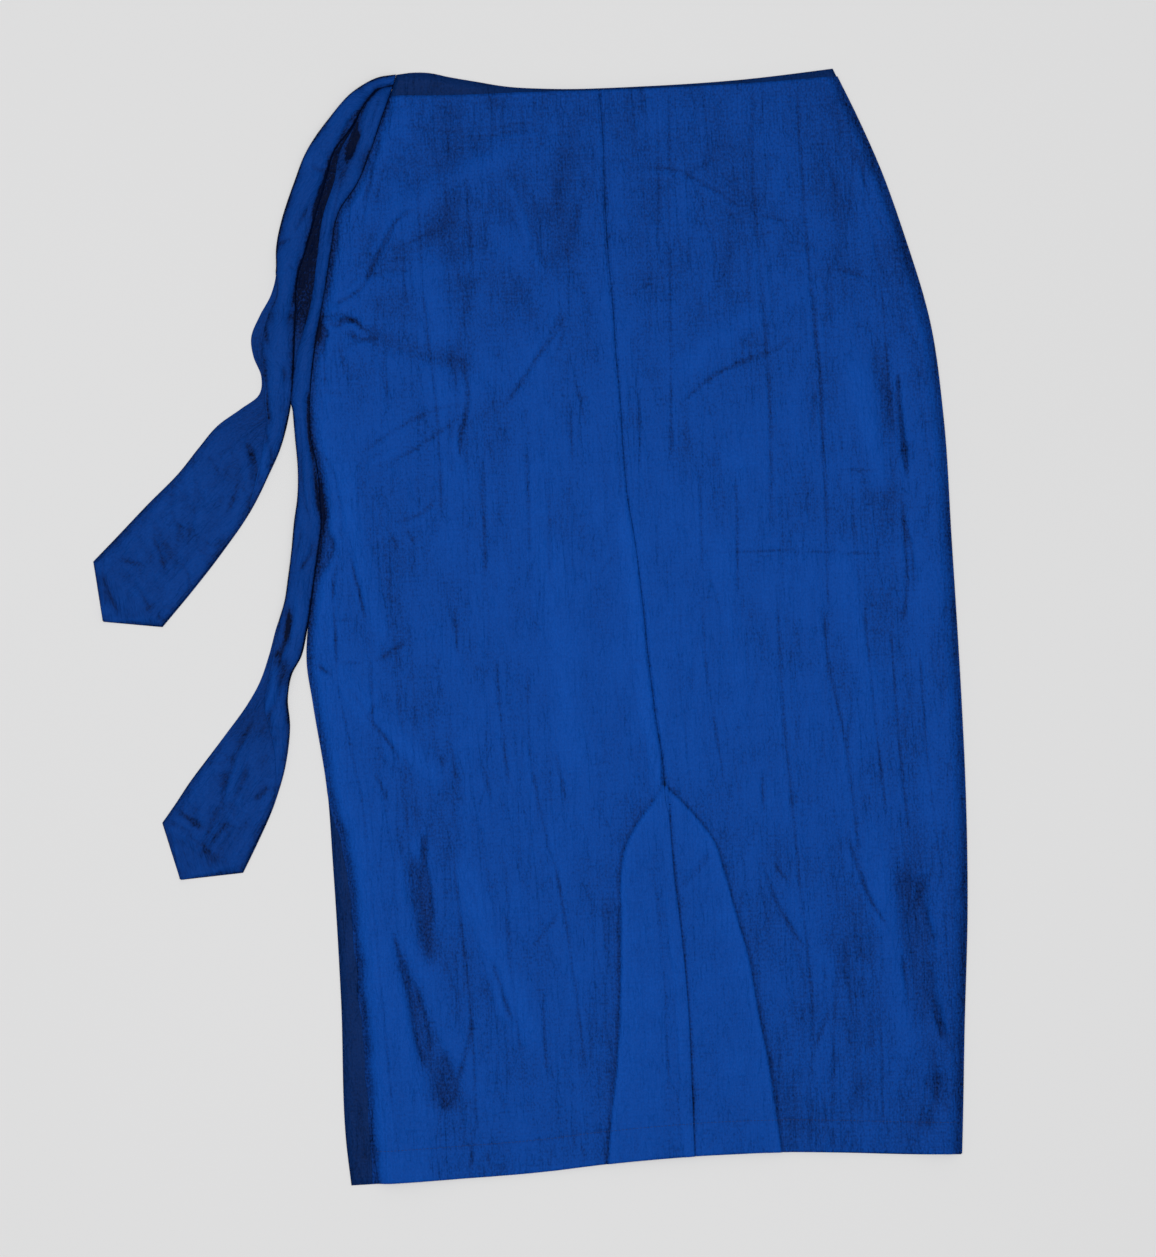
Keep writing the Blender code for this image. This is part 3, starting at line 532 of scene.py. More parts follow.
# and its creases: depth, cell across, cell along, sharpness, seed
CRUSH_CREASES = [(0.24, 10, 95, 12, 11), (0.20, 5.5, 48, 9, 21), (0.12, 24, 9, 9, 31)]

# How a fold line runs: its steps, its reach and its lip in half widths, and how far its height wanders
FOLD_POINT_STEP = 6
FOLD_REACH = 5
FOLD_END_SHARE = 0.4
FOLD_LIP_PLACE = 2.3
FOLD_LIP_WIDTH = 1.6
FOLD_HEIGHT_SHARE = 0.8
FOLD_WANDER = 0.35
FOLD_WANDER_CELL = 17

# The back: what is left of its relief at the edges and on the pleat, and the lines of its seam and hem
RELIEF_AT_EDGES = 0.25
RELIEF_LOST_ON_PLEAT = 0.35
PLEAT_RELIEF = 0.8
PLEAT_POINT_RUN = 7
PLEAT_LAP_RISE = 0.9
PLEAT_LAP_WIDTH = 6.0
PLEAT_SINK = 0.5
SEAM_END_RUN = 12
LEAST_RISE = 0.35
STITCH_GROOVE = 0.18
STITCH_GROOVE_WIDTH = 1.4


def cloth_noise(x, y, cell_x, cell_y, seed):
    """Smooth noise from about -1 to 1, with cells of the given size."""
    turns = np.random.RandomState(seed).uniform(0, 2 * math.pi, (NOISE_SIZE, NOISE_SIZE))
    gx = np.asarray(x) / cell_x + NOISE_START
    gy = np.asarray(y) / cell_y + NOISE_START
    column_number = np.floor(gx).astype(int)
    row_number = np.floor(gy).astype(int)
    fx = gx - column_number
    fy = gy - row_number
    wx = ease(fx)
    wy = ease(fy)
    total = 0
    for dx in (0, 1):
        for dy in (0, 1):
            turn = turns[(column_number + dx) % NOISE_SIZE, (row_number + dy) % NOISE_SIZE]
            slope = np.cos(turn) * (fx - dx) + np.sin(turn) * (fy - dy)
            total = total + slope * (wx if dx else 1 - wx) * (wy if dy else 1 - wy)
    return total * NOISE_GAIN


def crinkle(x, y, cell_x, cell_y, sharpness, seed):
    """Fine wandering creases: 1 on their lines, which come and go over the cloth."""
    line = 1 - np.abs(cloth_noise(x, y, cell_x, cell_y, seed))
    shown = ease(cloth_noise(x, y, cell_x * 3, cell_y * 2, seed + 1) + 0.35)
    return np.clip(line, 0, 1) ** sharpness * shown


def crumple(x, y, waves=CRUSH_WAVES, creases=CRUSH_CREASES):
    """The crushed finish of the cloth, in millimetres."""
    height = 0
    for peak, cell_x, cell_y, seed in waves:
        height = height + peak * cloth_noise(x, y, cell_x, cell_y, seed)
    for depth, cell_x, cell_y, sharpness, seed in creases:
        height = height - depth * crinkle(x, y, cell_x, cell_y, sharpness, seed)
    return height


def lengths_along(places):
    """How far along its row each place lies."""
    return np.concatenate([[0], np.cumsum(np.linalg.norm(np.diff(places, axis=0), axis=1))])


def spread_along(places, count=None):
    """Evenly spaced places on a smooth curve through a row of places."""
    lengths = lengths_along(places)
    along = np.linspace(0, lengths[-1], count or max(3, int(lengths[-1] / FOLD_POINT_STEP)))
    return np.stack([smooth_line(lengths, places[:, axis])(along) for axis in (0, 1)], axis=1)


def near_line(x, y, line, reach):
    """The points within reach of a line: which they are, how far along it, and how far to its left."""
    low = line.min(axis=0) - reach
    high = line.max(axis=0) + reach
    near = np.nonzero((x > low[0]) & (x < high[0]) & (y > low[1]) & (y < high[1]))[0]
    nx, ny = x[near], y[near]
    least = np.full(len(near), 1e9)
    along = np.zeros(len(near))
    across = np.zeros(len(near))
    length_so_far = 0.0
    for (ax, ay), (bx, by) in zip(line, line[1:]):
        length = math.hypot(bx - ax, by - ay)
        share = np.clip(((nx - ax) * (bx - ax) + (ny - ay) * (by - ay)) / length ** 2, 0, 1)
        gap = np.hypot(nx - ax - share * (bx - ax), ny - ay - share * (by - ay))
        side = np.sign((nx - ax) * (by - ay) - (ny - ay) * (bx - ax))
        closer = gap < least
        least = np.where(closer, gap, least)
        along = np.where(closer, length_so_far + share * length, along)
        across = np.where(closer, side * gap, across)
        length_so_far += length
    return near, along, across, length_so_far


def fold_lines(x, y, lines):
    """The height that hand-placed folds add at each point."""
    height = np.zeros(len(x))
    for number, (peak, half_width, lip, points) in enumerate(lines):
        line = spread_along(np.array([from_photo(px, py) for px, py in points]))
        near, along, across, length = near_line(x, y, line, half_width * FOLD_REACH)
        if len(near) == 0:
            continue
        fade = min(FOLD_END_FADE, FOLD_END_SHARE * length)
        ends = ease(along / fade) * ease((length - along) / fade)
        wander = cloth_noise(along, along * 0 + number * 7.3, FOLD_WANDER_CELL, 5, 41)
        shape = bell if peak > 0 else valley
        profile = peak * shape(across / half_width)
        profile = profile + lip * bell((across - FOLD_LIP_PLACE * half_width) / (FOLD_LIP_WIDTH * half_width))
        height[near] += profile * ends * (FOLD_HEIGHT_SHARE + FOLD_WANDER * wander)
    return height


def broad_folds(x, y):
    """The largest folds, which the part's own solids have too."""
    height = np.zeros(len(x))
    for x0, y0, x1, y1, peak, half_width in BROAD_FOLDS:
        length = math.hypot(x1 - x0, y1 - y0)
        along = ((x - x0) * (x1 - x0) + (y - y0) * (y1 - y0)) / length
        across = ((x - x0) * (y1 - y0) - (y - y0) * (x1 - x0)) / length
        half = BROAD_FOLD_FADE / 2
        ends = ease((along + half) / BROAD_FOLD_FADE)
        ends = ends * ease((length - along + half) / BROAD_FOLD_FADE)
        height += peak * bell(across / half_width) * ends
    return height


def roll_shape(distance, run, fade):
    """Rises from a side edge over run, then sinks back by fade."""
    return ease(distance / run) * (1 - ease((distance - run) / (fade - run)))


def pleat_rise(x, y):
    """1 over the pleat's folded layers, falling to 0 just outside them."""
    middle = centre_x(y)
    offset = np.where(x < middle, middle - pleat_left_x(y), pleat_right_x(y) - middle) - PLEAT_INSET
    pointed = ease((PLEAT_POINT - y) / PLEAT_POINT_RUN)
    outside = np.abs(x - middle) - np.maximum(offset, 0)
    rise = 1 - ease((outside - PLEAT_STEP_CLEAR) / PLEAT_STEP_RUN)
    return rise * pointed


def back_height(x, y):
    """Height of the middle of the back's cloth over the floor."""
    from_left = x - back_left_x(y)
    from_right = right_x(y) - x
    inside = ease(np.minimum(from_left, from_right) / EDGE_RISE_RUN)
    height = BACK_EDGE_HEIGHT + (BACK_LIE_HEIGHT - BACK_EDGE_HEIGHT) * inside
    height += left_roll(y) * roll_shape(from_left, LEFT_ROLL_RUN, LEFT_ROLL_FADE)
    height += right_roll(y) * roll_shape(from_right, RIGHT_ROLL_RUN, RIGHT_ROLL_FADE)
    pins = [(PIN_HEIGHT, PIN_HALF_WIDTH, 0.0, points) for points in PIN_CREASES]
    relief = broad_folds(x, y) + crumple(x, y) + fold_lines(x, y, FOLD_LINES) + fold_lines(x, y, pins)
    rise = pleat_rise(x, y)
    height += (RELIEF_AT_EDGES + (1 - RELIEF_AT_EDGES) * inside) * relief * (1 - RELIEF_LOST_ON_PLEAT * rise)
    above_pleat = ease((y - PLEAT_TOP + SEAM_END_RUN / 2) / SEAM_END_RUN)
    from_seam = centre_x(y) - x
    height -= above_pleat * seam_depth(y) * bell(from_seam / SEAM_HALF_WIDTH)
    height += above_pleat * seam_lip(y) * bell((from_seam - SEAM_LIP_WIDTH) / SEAM_LIP_WIDTH)
    stitch_line = hem_y(x) + HEM_DEPTH
    height -= STITCH_GROOVE * bell((y - stitch_line) / STITCH_GROOVE_WIDTH)
    height = np.maximum(height, BACK_EDGE_HEIGHT + LEAST_RISE * inside)
    top_of_pleat = np.maximum(PLEAT_HEIGHT + PLEAT_RELIEF * relief, PLEAT_HEIGHT - PLEAT_SINK)
    over_lap = np.where(from_seam > -PLEAT_OVERLAP - 0.5, PLEAT_LAP_RISE, 0.0)
    lap = bell((from_seam - 1.0) / PLEAT_LAP_WIDTH) * over_lap
    return height + (top_of_pleat + lap - height) * rise


# Meshes

# Columns and rows of a back panel's outer side, the step to the next one of its inner side, and what is
# folded under
BACK_COLUMNS = 232
BACK_ROWS = 384
INNER_SKIP = 4
FOLD_STEPS = 3
RETURN_COLUMNS = 8


def grid_faces(rows, upward=True):
    """Faces between neighbouring rows. A row that is shorter ends in a fan at its last point."""
    faces = []
    for upper, lower in zip(rows, rows[1:]):
        for i in range(len(lower) - 1):
            if i + 1 < len(upper):
                face = [upper[i], lower[i], lower[i + 1], upper[i + 1]]
            else:
                face = [upper[-1], lower[i], lower[i + 1]]
            faces.append(face if upward else face[::-1])
    return faces


def make_mesh(name, points, faces, flat, shade, materials):
    """A mesh in metres with its places on the flat cloth and its painted shade and light."""
    points = np.array(points, float)
    points[:, 0] -= MIDDLE_OF_OUTLINE[0]
    points[:, 1] -= MIDDLE_OF_OUTLINE[1]
    mesh = bpy.data.meshes.new(name)
    mesh.from_pydata((points * MM).tolist(), [], faces)
    for material in materials:
        mesh.materials.append(material)
    corner_points = np.zeros(len(mesh.loops), int)
    mesh.loops.foreach_get("vertex_index", corner_points)
    flat_map = mesh.uv_layers.new(name="cloth")
    flat_map.data.foreach_set("uv", (np.asarray(flat)[corner_points] * MM).astype(np.float32).ravel())
    # The crease attribute holds painted shade in creases and painted highlights on ridges
    tone = mesh.attributes.new("crease", "FLOAT", "POINT")
    tone.data.foreach_set("value", np.asarray(shade, np.float32))
    mesh.update()
    mesh.shade_smooth()
    piece = bpy.data.objects.new(name, mesh)
    bpy.context.scene.collection.objects.link(piece)
    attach(piece, "root")
    return piece


def cloth_piece(name, points, faces, flat, shade, thickness, materials):
    """A sheet of cloth from its middle surface, with a wall of even thickness."""
    piece = make_mesh(name, points, faces, flat, shade, materials)
    wall = piece.modifiers.new("cloth wall", "SOLIDIFY")
    wall.thickness = thickness * MM
    wall.offset = 0.0
    wall.use_rim = True
    wall.material_offset = len(materials) - 1
    return piece


def edge_loop(faces):
    """The open edge of a mesh, as point numbers in order round it."""
    after = {}
    for face in faces:
        for a, b in zip(face, face[1:] + face[:1]):
            after[(a, b)] = True
    onward = {a: b for a, b in after if (b, a) not in after}
    first = next(iter(onward))
    loop = [first]
    while onward[loop[-1]] != first:
        loop.append(onward[loop[-1]])
    return loop


def two_sided_piece(name, points, rows, flat, shade, thickness, materials, upward, kept_columns, kept_rows):
    """A large sheet of cloth: a fine outer side, and a coarse inner side just under its lowest places."""
    points = np.array(points, float)
    fine = grid_faces(rows, upward)
    kept = [[rows[number][i] for i in kept_columns if i < len(rows[number])] for number in sorted(kept_rows)]
    coarse = grid_faces(kept, upward)
    shortest = min(len(row) for row in rows)
    main = max(i for i in kept_columns if i < shortest) + 1
    grid = np.array([row[:main] for row in rows])
    heights = points[grid, 2]
    low = heights
    for axis in (0, 1):
        low = np.min([np.roll(low, shift, axis=axis) for shift in range(-INNER_SKIP, INNER_SKIP + 1)], axis=0)
    for border in (np.s_[:INNER_SKIP], np.s_[-INNER_SKIP:], np.s_[:, :INNER_SKIP], np.s_[:, -INNER_SKIP:]):
        low[border] = heights[border]
    inner = points.copy()
    inner[grid, 2] = low
    used = sorted({corner for face in coarse for corner in face})
    number_of = {corner: len(points) + i for i, corner in enumerate(used)}
    inner_points = inner[used]
    inner_points[:, 2] -= thickness
    faces = list(fine)
    faces += [[number_of[corner] for corner in reversed(face)] for face in coarse]
    loop = edge_loop(fine)
    first = next(i for i, corner in enumerate(loop) if corner in number_of)
    loop = loop[first:] + loop[:first] + [loop[first]]
    start = 0
    for i in range(1, len(loop)):
        if loop[i] in number_of:
            side = loop[start:i + 1]
            faces.append([number_of[side[0]], number_of[side[-1]]] + side[::-1])
            start = i
    all_points = np.concatenate([points, inner_points])
    all_flat = np.concatenate([np.asarray(flat), np.asarray(flat)[used]])
    all_shade = np.concatenate([np.asarray(shade), np.asarray(shade)[used]])
    piece = make_mesh(name, all_points, faces, all_flat, all_shade, materials)
    sides = np.zeros(len(faces), int)
    sides[len(fine):] = len(materials) - 1
    piece.data.polygons.foreach_set("material_index", sides)
    return piece


def blur(values, across, down):
    """The mean of a grid over a window of cells."""
    for axis, half in ((1, across), (0, down)):
        size = values.shape[axis]
        pad = [(0, 0), (0, 0)]
        pad[axis] = (half + 1, half)
        total = np.cumsum(np.pad(values, pad, mode="edge"), axis=axis)
        window = 2 * half + 1
        values = (np.take(total, range(window, window + size), axis=axis)
                  - np.take(total, range(size), axis=axis)) / window
    return values


# Painted shade and light on the cloth

# Above 0 it darkens the cloth as painted shade, below 0 it lightens it as a painted highlight. The windows
# and depths are those of the creases, times these numbers
WIDE_WINDOW = (5, 6)
WIDE_DEPTH = 4
BROAD_WINDOW = (14, 20)
BROAD_DEPTH = 5
BROAD_RANGE = (-0.35, 0.6)
STEEP_PAINTED_SHADE = 0.9
STEEP_FROM = 0.3
PAINTED_SHADE_RANGE = (-0.9, 1.6)

# Painted shade over the back, slow to change: tone, and where each starts and how far it takes to be full
WAIST_PAINTED_SHADE = 0.55
WAIST_TONE_RISE = (120, 220)
CORNER_PAINTED_SHADE = 0.40
CORNER_TONE_RISE_X = (110, 90)
CORNER_TONE_RISE_Y = (-110, 130)
RIGHT_EDGE_PAINTED_SHADE = 0.80
RIGHT_EDGE_WIDTH = 24
# and its painted light, on the middle and the pleat: tone, middle x, middle y, half width, half height
PAINTED_LIGHT_PLACES = [(0.60, 60, -20, 110, 150), (0.40, 90, -290, 80, 90)]

# Painted shade in creases is fainter where the painted shade over the back is dark, and edges, laps and the
# seam get painted shadows: tone, width
CREASES_LOST_IN_DARK = 0.7
DARKEST_SLOW_TONE = 0.7
BESIDE_TIE_PAINTED_SHADOW = 1.5
BESIDE_TIE_WIDTH = 2.6
UNDER_LAP_PAINTED_SHADOW = 1.3
UNDER_LAP_WIDTH = 3.0
SEAM_PAINTED_SHADE = 0.5
SEAM_TONE_WIDTH = 2.4
RETURN_PAINTED_SHADE = 0.3


def painted_crease_shade(heights, across, down, depth, cell):
    """Painted shade from the heights: above 0 where a point lies under the cloth round it or on a steep
    slope, below 0 a painted highlight on a ridge.
    """
    near = (blur(heights, across, down) - heights) / depth
    wide = (blur(heights, across * WIDE_WINDOW[0], down * WIDE_WINDOW[1]) - heights) / (depth * WIDE_DEPTH)
    broad = blur(heights, across * BROAD_WINDOW[0], down * BROAD_WINDOW[1]) - heights
    broad = np.clip(broad / (depth * BROAD_DEPTH), *BROAD_RANGE)
    steep = np.abs(np.gradient(heights, axis=1)) / cell
    tone = near + wide + broad + STEEP_PAINTED_SHADE * np.clip(steep - STEEP_FROM, 0, 1)
    return np.clip(tone, *PAINTED_SHADE_RANGE)


def painted_light_over_back(x, y):
    """Slow painted shade and painted light over the back: darker towards the waist, the lower right corner
    and the right edge, lighter in the middle and on the pleat.
    """
    tone = WAIST_PAINTED_SHADE * ease((y - WAIST_TONE_RISE[0]) / WAIST_TONE_RISE[1])
    corner = ease((x - CORNER_TONE_RISE_X[0]) / CORNER_TONE_RISE_X[1])
    tone = tone + CORNER_PAINTED_SHADE * corner * ease((CORNER_TONE_RISE_Y[0] - y) / CORNER_TONE_RISE_Y[1])
    tone = tone + RIGHT_EDGE_PAINTED_SHADE * bell((right_x(y) - x) / RIGHT_EDGE_WIDTH)
    for light, middle_x, middle_y, half_width, half_height in PAINTED_LIGHT_PLACES:
        tone = tone - light * bell((x - middle_x) / half_width) * bell((y - middle_y) / half_height)
    return tone


def back_painted_light_and_shade(side, rough_y, edge, centre, below, x, y, z):
    """The painted shade and light of one back panel: in its creases, as painted shadows beside the tie, under
    the lap and in the seam, and slowly over the back.
    """
    slow = painted_light_over_back(x, y)
    shown = 1 - CREASES_LOST_IN_DARK * np.clip(slow, 0, DARKEST_SLOW_TONE)
    tone = painted_crease_shade(z, 3, 1, 0.45, 1.0) * shown + slow
    tone += fold_lines(x.ravel(), y.ravel(), BACK_PAINTED_LIGHT_AND_SHADE).reshape(x.shape)
    if side < 0:
        # Painted shadow along the left edge, beside the tie
        uneven = 0.75 + 0.45 * cloth_noise(rough_y, rough_y * 0, 40, 5, 71)
        beside_tie = ease((rough_y + 20) / 30) * uneven
        return tone + beside_tie[:, None] * BESIDE_TIE_PAINTED_SHADOW * bell((x - edge[:, None]) / BESIDE_TIE_WIDTH)
    from_centre = x - centre[:, None]
    # Painted shadow under the left panel's lap, and painted shade along the seam
    tone += below[:, None] * UNDER_LAP_PAINTED_SHADOW * bell(from_centre / UNDER_LAP_WIDTH)
    seam = (1 - below[:, None]) * seam_depth(rough_y)[:, None]
    return tone + seam * SEAM_PAINTED_SHADE * bell(from_centre / SEAM_TONE_WIDTH)


# Panels

# Heights (y) at which the corners and the centre of the back are read off its outlines
CENTRE_WAIST_Y = 390
CENTRE_HEM_Y = -391
CORNER_WAIST_Y = 396
CORNER_HEM_Y = -398
COLUMNS_CROWDED = 0.35
UNDER_LAP_SINK = 0.8
UNDER_LAP_SINK_WIDTH = 4.0
FOLD_ROUNDNESS = 0.6
FRONT_COLUMNS = 70
FRONT_ROWS = 140
FRONT_EDGE_RUN = 16
FRONT_RELIEF = 0.45
FRONT_MOST_RELIEF = 0.7
UNDERLAY_COLUMNS = 40
UNDERLAY_ROWS = 70
UNDERLAY_RELIEF = 0.3


def back_panel(name, side, materials):
    """One back panel and what is folded under at the pleat. Side is -1 on the left and 1 on the right."""
    top = back_waist_y(centre_x(CENTRE_WAIST_Y))
    bottom = hem_y(centre_x(CENTRE_HEM_Y))
    downs = np.linspace(0, 1, BACK_ROWS + 1)
    rough_y = top + (bottom - top) * downs
    edge = back_left_x(rough_y) if side < 0 else right_x(rough_y)
    below = ease((PLEAT_TOP - rough_y) / SEAM_END_RUN)
    lap = PLEAT_OVERLAP * below if side < 0 else 0.0
    centre = centre_x(rough_y) + side * SEAM_GAP / 2 + lap
    shares = np.linspace(0, 1, BACK_COLUMNS + 1)
    shares = shares - COLUMNS_CROWDED * np.sin(2 * math.pi * shares) / (2 * math.pi)
    x = edge[:, None] + (centre - edge)[:, None] * shares[None, :]
    across = (x - left_x(0)) / (right_x(0) - left_x(0))
    x_waist = left_x(CORNER_WAIST_Y) + across * (right_x(CORNER_WAIST_Y) - left_x(CORNER_WAIST_Y))
    x_hem = left_x(CORNER_HEM_Y) + across * (right_x(CORNER_HEM_Y) - left_x(CORNER_HEM_Y))
    y = back_waist_y(x_waist) * (1 - downs)[:, None] + hem_y(x_hem) * downs[:, None]
    z = back_height(x.ravel(), y.ravel()).reshape(x.shape)
    if side > 0:
        z -= below[:, None] * UNDER_LAP_SINK * bell((x - centre[:, None]) / UNDER_LAP_SINK_WIDTH)
    tones = back_painted_light_and_shade(side, rough_y, edge, centre, below, x, y, z).ravel().tolist()
    points = np.stack([x.ravel(), y.ravel(), z.ravel()], axis=1).tolist()
    flats = np.stack([x.ravel(), y.ravel()], axis=1).tolist()
    numbers = np.arange(x.size).reshape(x.shape).tolist()
    fold_row = next(i for i, height in enumerate(rough_y) if height <= PLEAT_TOP - 4)
    for row in numbers[fold_row:]:
        fold_x, fold_y, fold_z = points[row[-1]]
        radius = (fold_z - RETURN_HEIGHT) / 2
        end_x = pleat_left_x(fold_y) + PLEAT_INSET if side < 0 else pleat_right_x(fold_y) - PLEAT_INSET
        places = []
        for step in range(1, FOLD_STEPS + 1):
            turn = math.pi * step / FOLD_STEPS
            bend_x = fold_x - side * radius * FOLD_ROUNDNESS * math.sin(turn)
            places.append((bend_x, RETURN_HEIGHT + radius * (1 + math.cos(turn))))
        places += [(place, RETURN_HEIGHT) for place in np.linspace(fold_x, end_x, RETURN_COLUMNS + 1)[1:]]
        for k, (place, height) in enumerate(places):
            row.append(len(points))
            points.append((place, fold_y, height))
            flats.append((2 * fold_x - place - side * k, fold_y))
            # The folded-under return gets a flat painted shade
            tones.append(RETURN_PAINTED_SHADE)
    kept_columns = list(range(0, BACK_COLUMNS + 1, INNER_SKIP))
    kept_columns += range(BACK_COLUMNS + 1, BACK_COLUMNS + 1 + FOLD_STEPS + RETURN_COLUMNS)
    kept_rows = set(range(0, BACK_ROWS + 1, INNER_SKIP)) | {fold_row - 1, fold_row}
    return two_sided_piece(name, points, numbers, flats, tones, PANEL_CLOTH, materials, side < 0,
                           kept_columns, kept_rows)


def plain_sheet(name, x, y, z, cell, materials):
    """A sheet of cloth over a grid of places."""
    points = np.stack([x.ravel(), y.ravel(), z.ravel()], axis=1)
    # Painted shade in the sheet's creases, painted highlights on its ridges
    tones = painted_crease_shade(z, 1, 1, 0.3, cell).ravel()
    numbers = np.arange(x.size).reshape(x.shape).tolist()
    return cloth_piece(name, points, grid_faces(numbers), points[:, :2], tones, PANEL_CLOTH, materials)


def front_panel(materials):
    """The front panel, flat on the floor, with low creases like the back's."""
    shares = np.linspace(0, 1, FRONT_COLUMNS + 1)
    downs = np.linspace(0, 1, FRONT_ROWS + 1)
    x_waist = left_x(408) + shares * (right_x(397) - left_x(408))
    x_hem = left_x(-400) + shares * (right_x(-400) - left_x(-400))
    y = front_waist_y(x_waist)[None, :] * (1 - downs)[:, None] + hem_y(x_hem)[None, :] * downs[:, None]
    x = left_x(y) + shares[None, :] * (right_x(y) - left_x(y))
    edge = ease(np.minimum(x - left_x(y), right_x(y) - x) / FRONT_EDGE_RUN)
    relief = crumple(x + 37, y - 19)
    z = FRONT_HEIGHT + np.clip(0.15 + FRONT_RELIEF * relief, 0, FRONT_MOST_RELIEF) * edge
    return plain_sheet("front_panel_cloth", x, y, z, 6.0, materials)


def pleat_underlay(materials):
    """The tapered piece behind the kick pleat."""
    down_y = np.linspace(UNDERLAY_TOP, hem_y(100) + HEM_INSET, UNDERLAY_ROWS + 1)
    shares = np.linspace(0, 1, UNDERLAY_COLUMNS + 1)
    start = pleat_left_x(down_y) + UNDERLAY_INSET
    end = pleat_right_x(down_y) - UNDERLAY_INSET
    x = start[:, None] + shares[None, :] * (end - start)[:, None]
    y = np.repeat(down_y[:, None], UNDERLAY_COLUMNS + 1, axis=1)
    relief = UNDERLAY_RELIEF * crumple(x, y + 50)
    z = UNDERLAY_HEIGHT + np.clip(relief, -UNDERLAY_RELIEF, UNDERLAY_RELIEF)
    return plain_sheet("pleat_underlay_cloth", x, y, z, 3.0, materials)


# The ties

# Sections along a tie and at its point, and places across each ply
TIE_STATIONS = 300
TIE_TIP_STATIONS = 16
TOP_COLUMNS = 16
LOWEST_COLUMNS = 34
HIDDEN_COLUMNS = 3
INNER_EDGE_PLACES = 900

# Where the ties lie beside each other and beside the skirt: heights (y) and clear gaps
TIES_PART = 166.0
TIES_PART_RUN = 10
TIE_GAP = 0.35
TIE_LEAVES_SKIRT = 4.0
TIE_LEAVES_RUN = 12
TIE_TIP_LENGTH = 27
TIE_TIP_REACH = 0.985

# The plies: the least width of one, how far it stays behind the next, and how they lie over each other
LEAST_PLY = 0.12
PLY_SET_BACK = 1.5
PLY_RISE_RUN = 6
LEAST_PLY_RISE = 0.12
LOWEST_PLY_HEIGHT = 0.3
PLY_BULGE = 0.3

# Where a tie opens (share left bare), and its crown, hem and crushed relief
STACK_GONE = 0.97
STACK_GONE_RUN = 0.35
END_OPENS = 0.45
END_OPENS_RUN = 0.4
RELIEF_WHERE_FOLDED = 0.35
FLAT_CROWN = 1.5
FLAT_CROWN_EDGE = 2.4
HEM_OF_TIE = 2.6
HEM_GROOVE = 0.35
HEM_GROOVE_WIDTH = 0.7
TIE_CRUSH = 1.2
TIE_CRUSH_SCALE = 1.3
TIE_END_WAVES = [(0.34, 7.5, 9.5, 61), (0.40, 17, 21, 65)]
TIE_END_CREASES = [(0.45, 10, 8, 6, 63)]
LOW_PLY_RELIEF_LOST = 0.8
MOST_TIE_RELIEF = 3.6

# Painted shade: on what lies bare under the stack, in the hollow between the ties and along the edges, and
# the limits of the painted shade
BARE_PAINTED_SHADE = 0.5
HOLLOW_PAINTED_SHADE = 2.0
HOLLOW_START = 30
HOLLOW_RUN = 40
TIE_EDGE_PAINTED_SHADE = 1.5
TIE_EDGE_WIDTH = 0.9
DEEPEST_ON_TIES = 3.3
DEEPEST_AT_TIE_ENDS = 1.35


def tie_chain(width, bare):
    """A tie's plies across one section: the lowest over the whole width, then a stack that leaves part bare.

    Each place is (distance from the outer edge, height of the ply, 1 in the stack or 0 in the lowest ply)."""
    top = max(width * (1 - bare), LEAST_PLY)
    longest = max(top - PLY_SET_BACK, LEAST_PLY)
    doubled_back = float(np.clip((TIE_WIDTH - width - 2 * top) / 2, LEAST_PLY, longest))
    long_ply = (top + doubled_back) / 2
    rises = [max(ease(length / PLY_RISE_RUN), LEAST_PLY_RISE) for length in (top, doubled_back)]
    steps = [TIE_LAYER_STEP * rises[number] for number in (0, 1, 1, 0)]
    heights = LOWEST_PLY_HEIGHT + np.concatenate([[0], np.cumsum(steps)])
    turns = [0.0, width, width - long_ply, width - long_ply + doubled_back, width - top, width]
    columns = [LOWEST_COLUMNS, HIDDEN_COLUMNS, HIDDEN_COLUMNS, HIDDEN_COLUMNS, TOP_COLUMNS]
    chain = []
    for number, (start, end) in enumerate(zip(turns, turns[1:])):
        stacked = 1 if number else 0
        if number:
            below = heights[number - 1]
            radius = (heights[number] - below) / 2
            outward = 1 if number % 2 else -1
            for turn in (math.pi / 4, math.pi / 2, 3 * math.pi / 4):
                bulge = min(radius, PLY_BULGE) * outward * math.sin(turn)
                chain.append((start + bulge, below + radius * (1 - math.cos(turn)), stacked))
        chain += [(place, heights[number], stacked) for place in np.linspace(start, end, columns[number] + 1)]
    return chain


def beside(start, end, neighbour):
    """A section's outer end, moved up against the neighbour's inner edge where the ties lie side by side."""
    if neighbour is None or start[1] < TIES_PART:
        return start
    nearest = neighbour[np.argmin(np.linalg.norm(neighbour - start, axis=1))]
    toward = (end - nearest) / np.linalg.norm(end - nearest)
    met = nearest + TIE_GAP * toward
    return start + (met - start) * ease((start[1] - TIES_PART) / TIES_PART_RUN)


def tie_stations(sections, tip, neighbour):
    """Sections all along a tie: outer end, inner end, share left bare and length so far."""
    lengths = lengths_along((sections[:, 0:2] + sections[:, 2:4]) / 2)
    curves = [smooth_line(lengths, sections[:, i]) for i in range(5)]
    stations = []
    for length in np.linspace(0, lengths[-1], TIE_STATIONS):
        ox, oy, ix, iy, bare = [curve(length) for curve in curves]
        inner = np.array([ix, iy])
        if neighbour is not None:
            inner[0] += (left_x(iy) - TIE_GAP - ix) * ease((iy - TIE_LEAVES_SKIRT) / TIE_LEAVES_RUN)
        outer = beside(np.array([ox, oy]), inner, neighbour)
        stations.append((outer, inner, float(np.clip(bare, 0, 1)), length))
    outer, inner = sections[-1, 0:2], sections[-1, 2:4]
    for part in np.linspace(0, TIE_TIP_REACH, TIE_TIP_STATIONS + 1)[1:]:
        length = lengths[-1] + TIE_TIP_LENGTH * part
        stations.append((outer + (tip - outer) * part, inner + (tip - inner) * part, 1.0, length))
    return stations


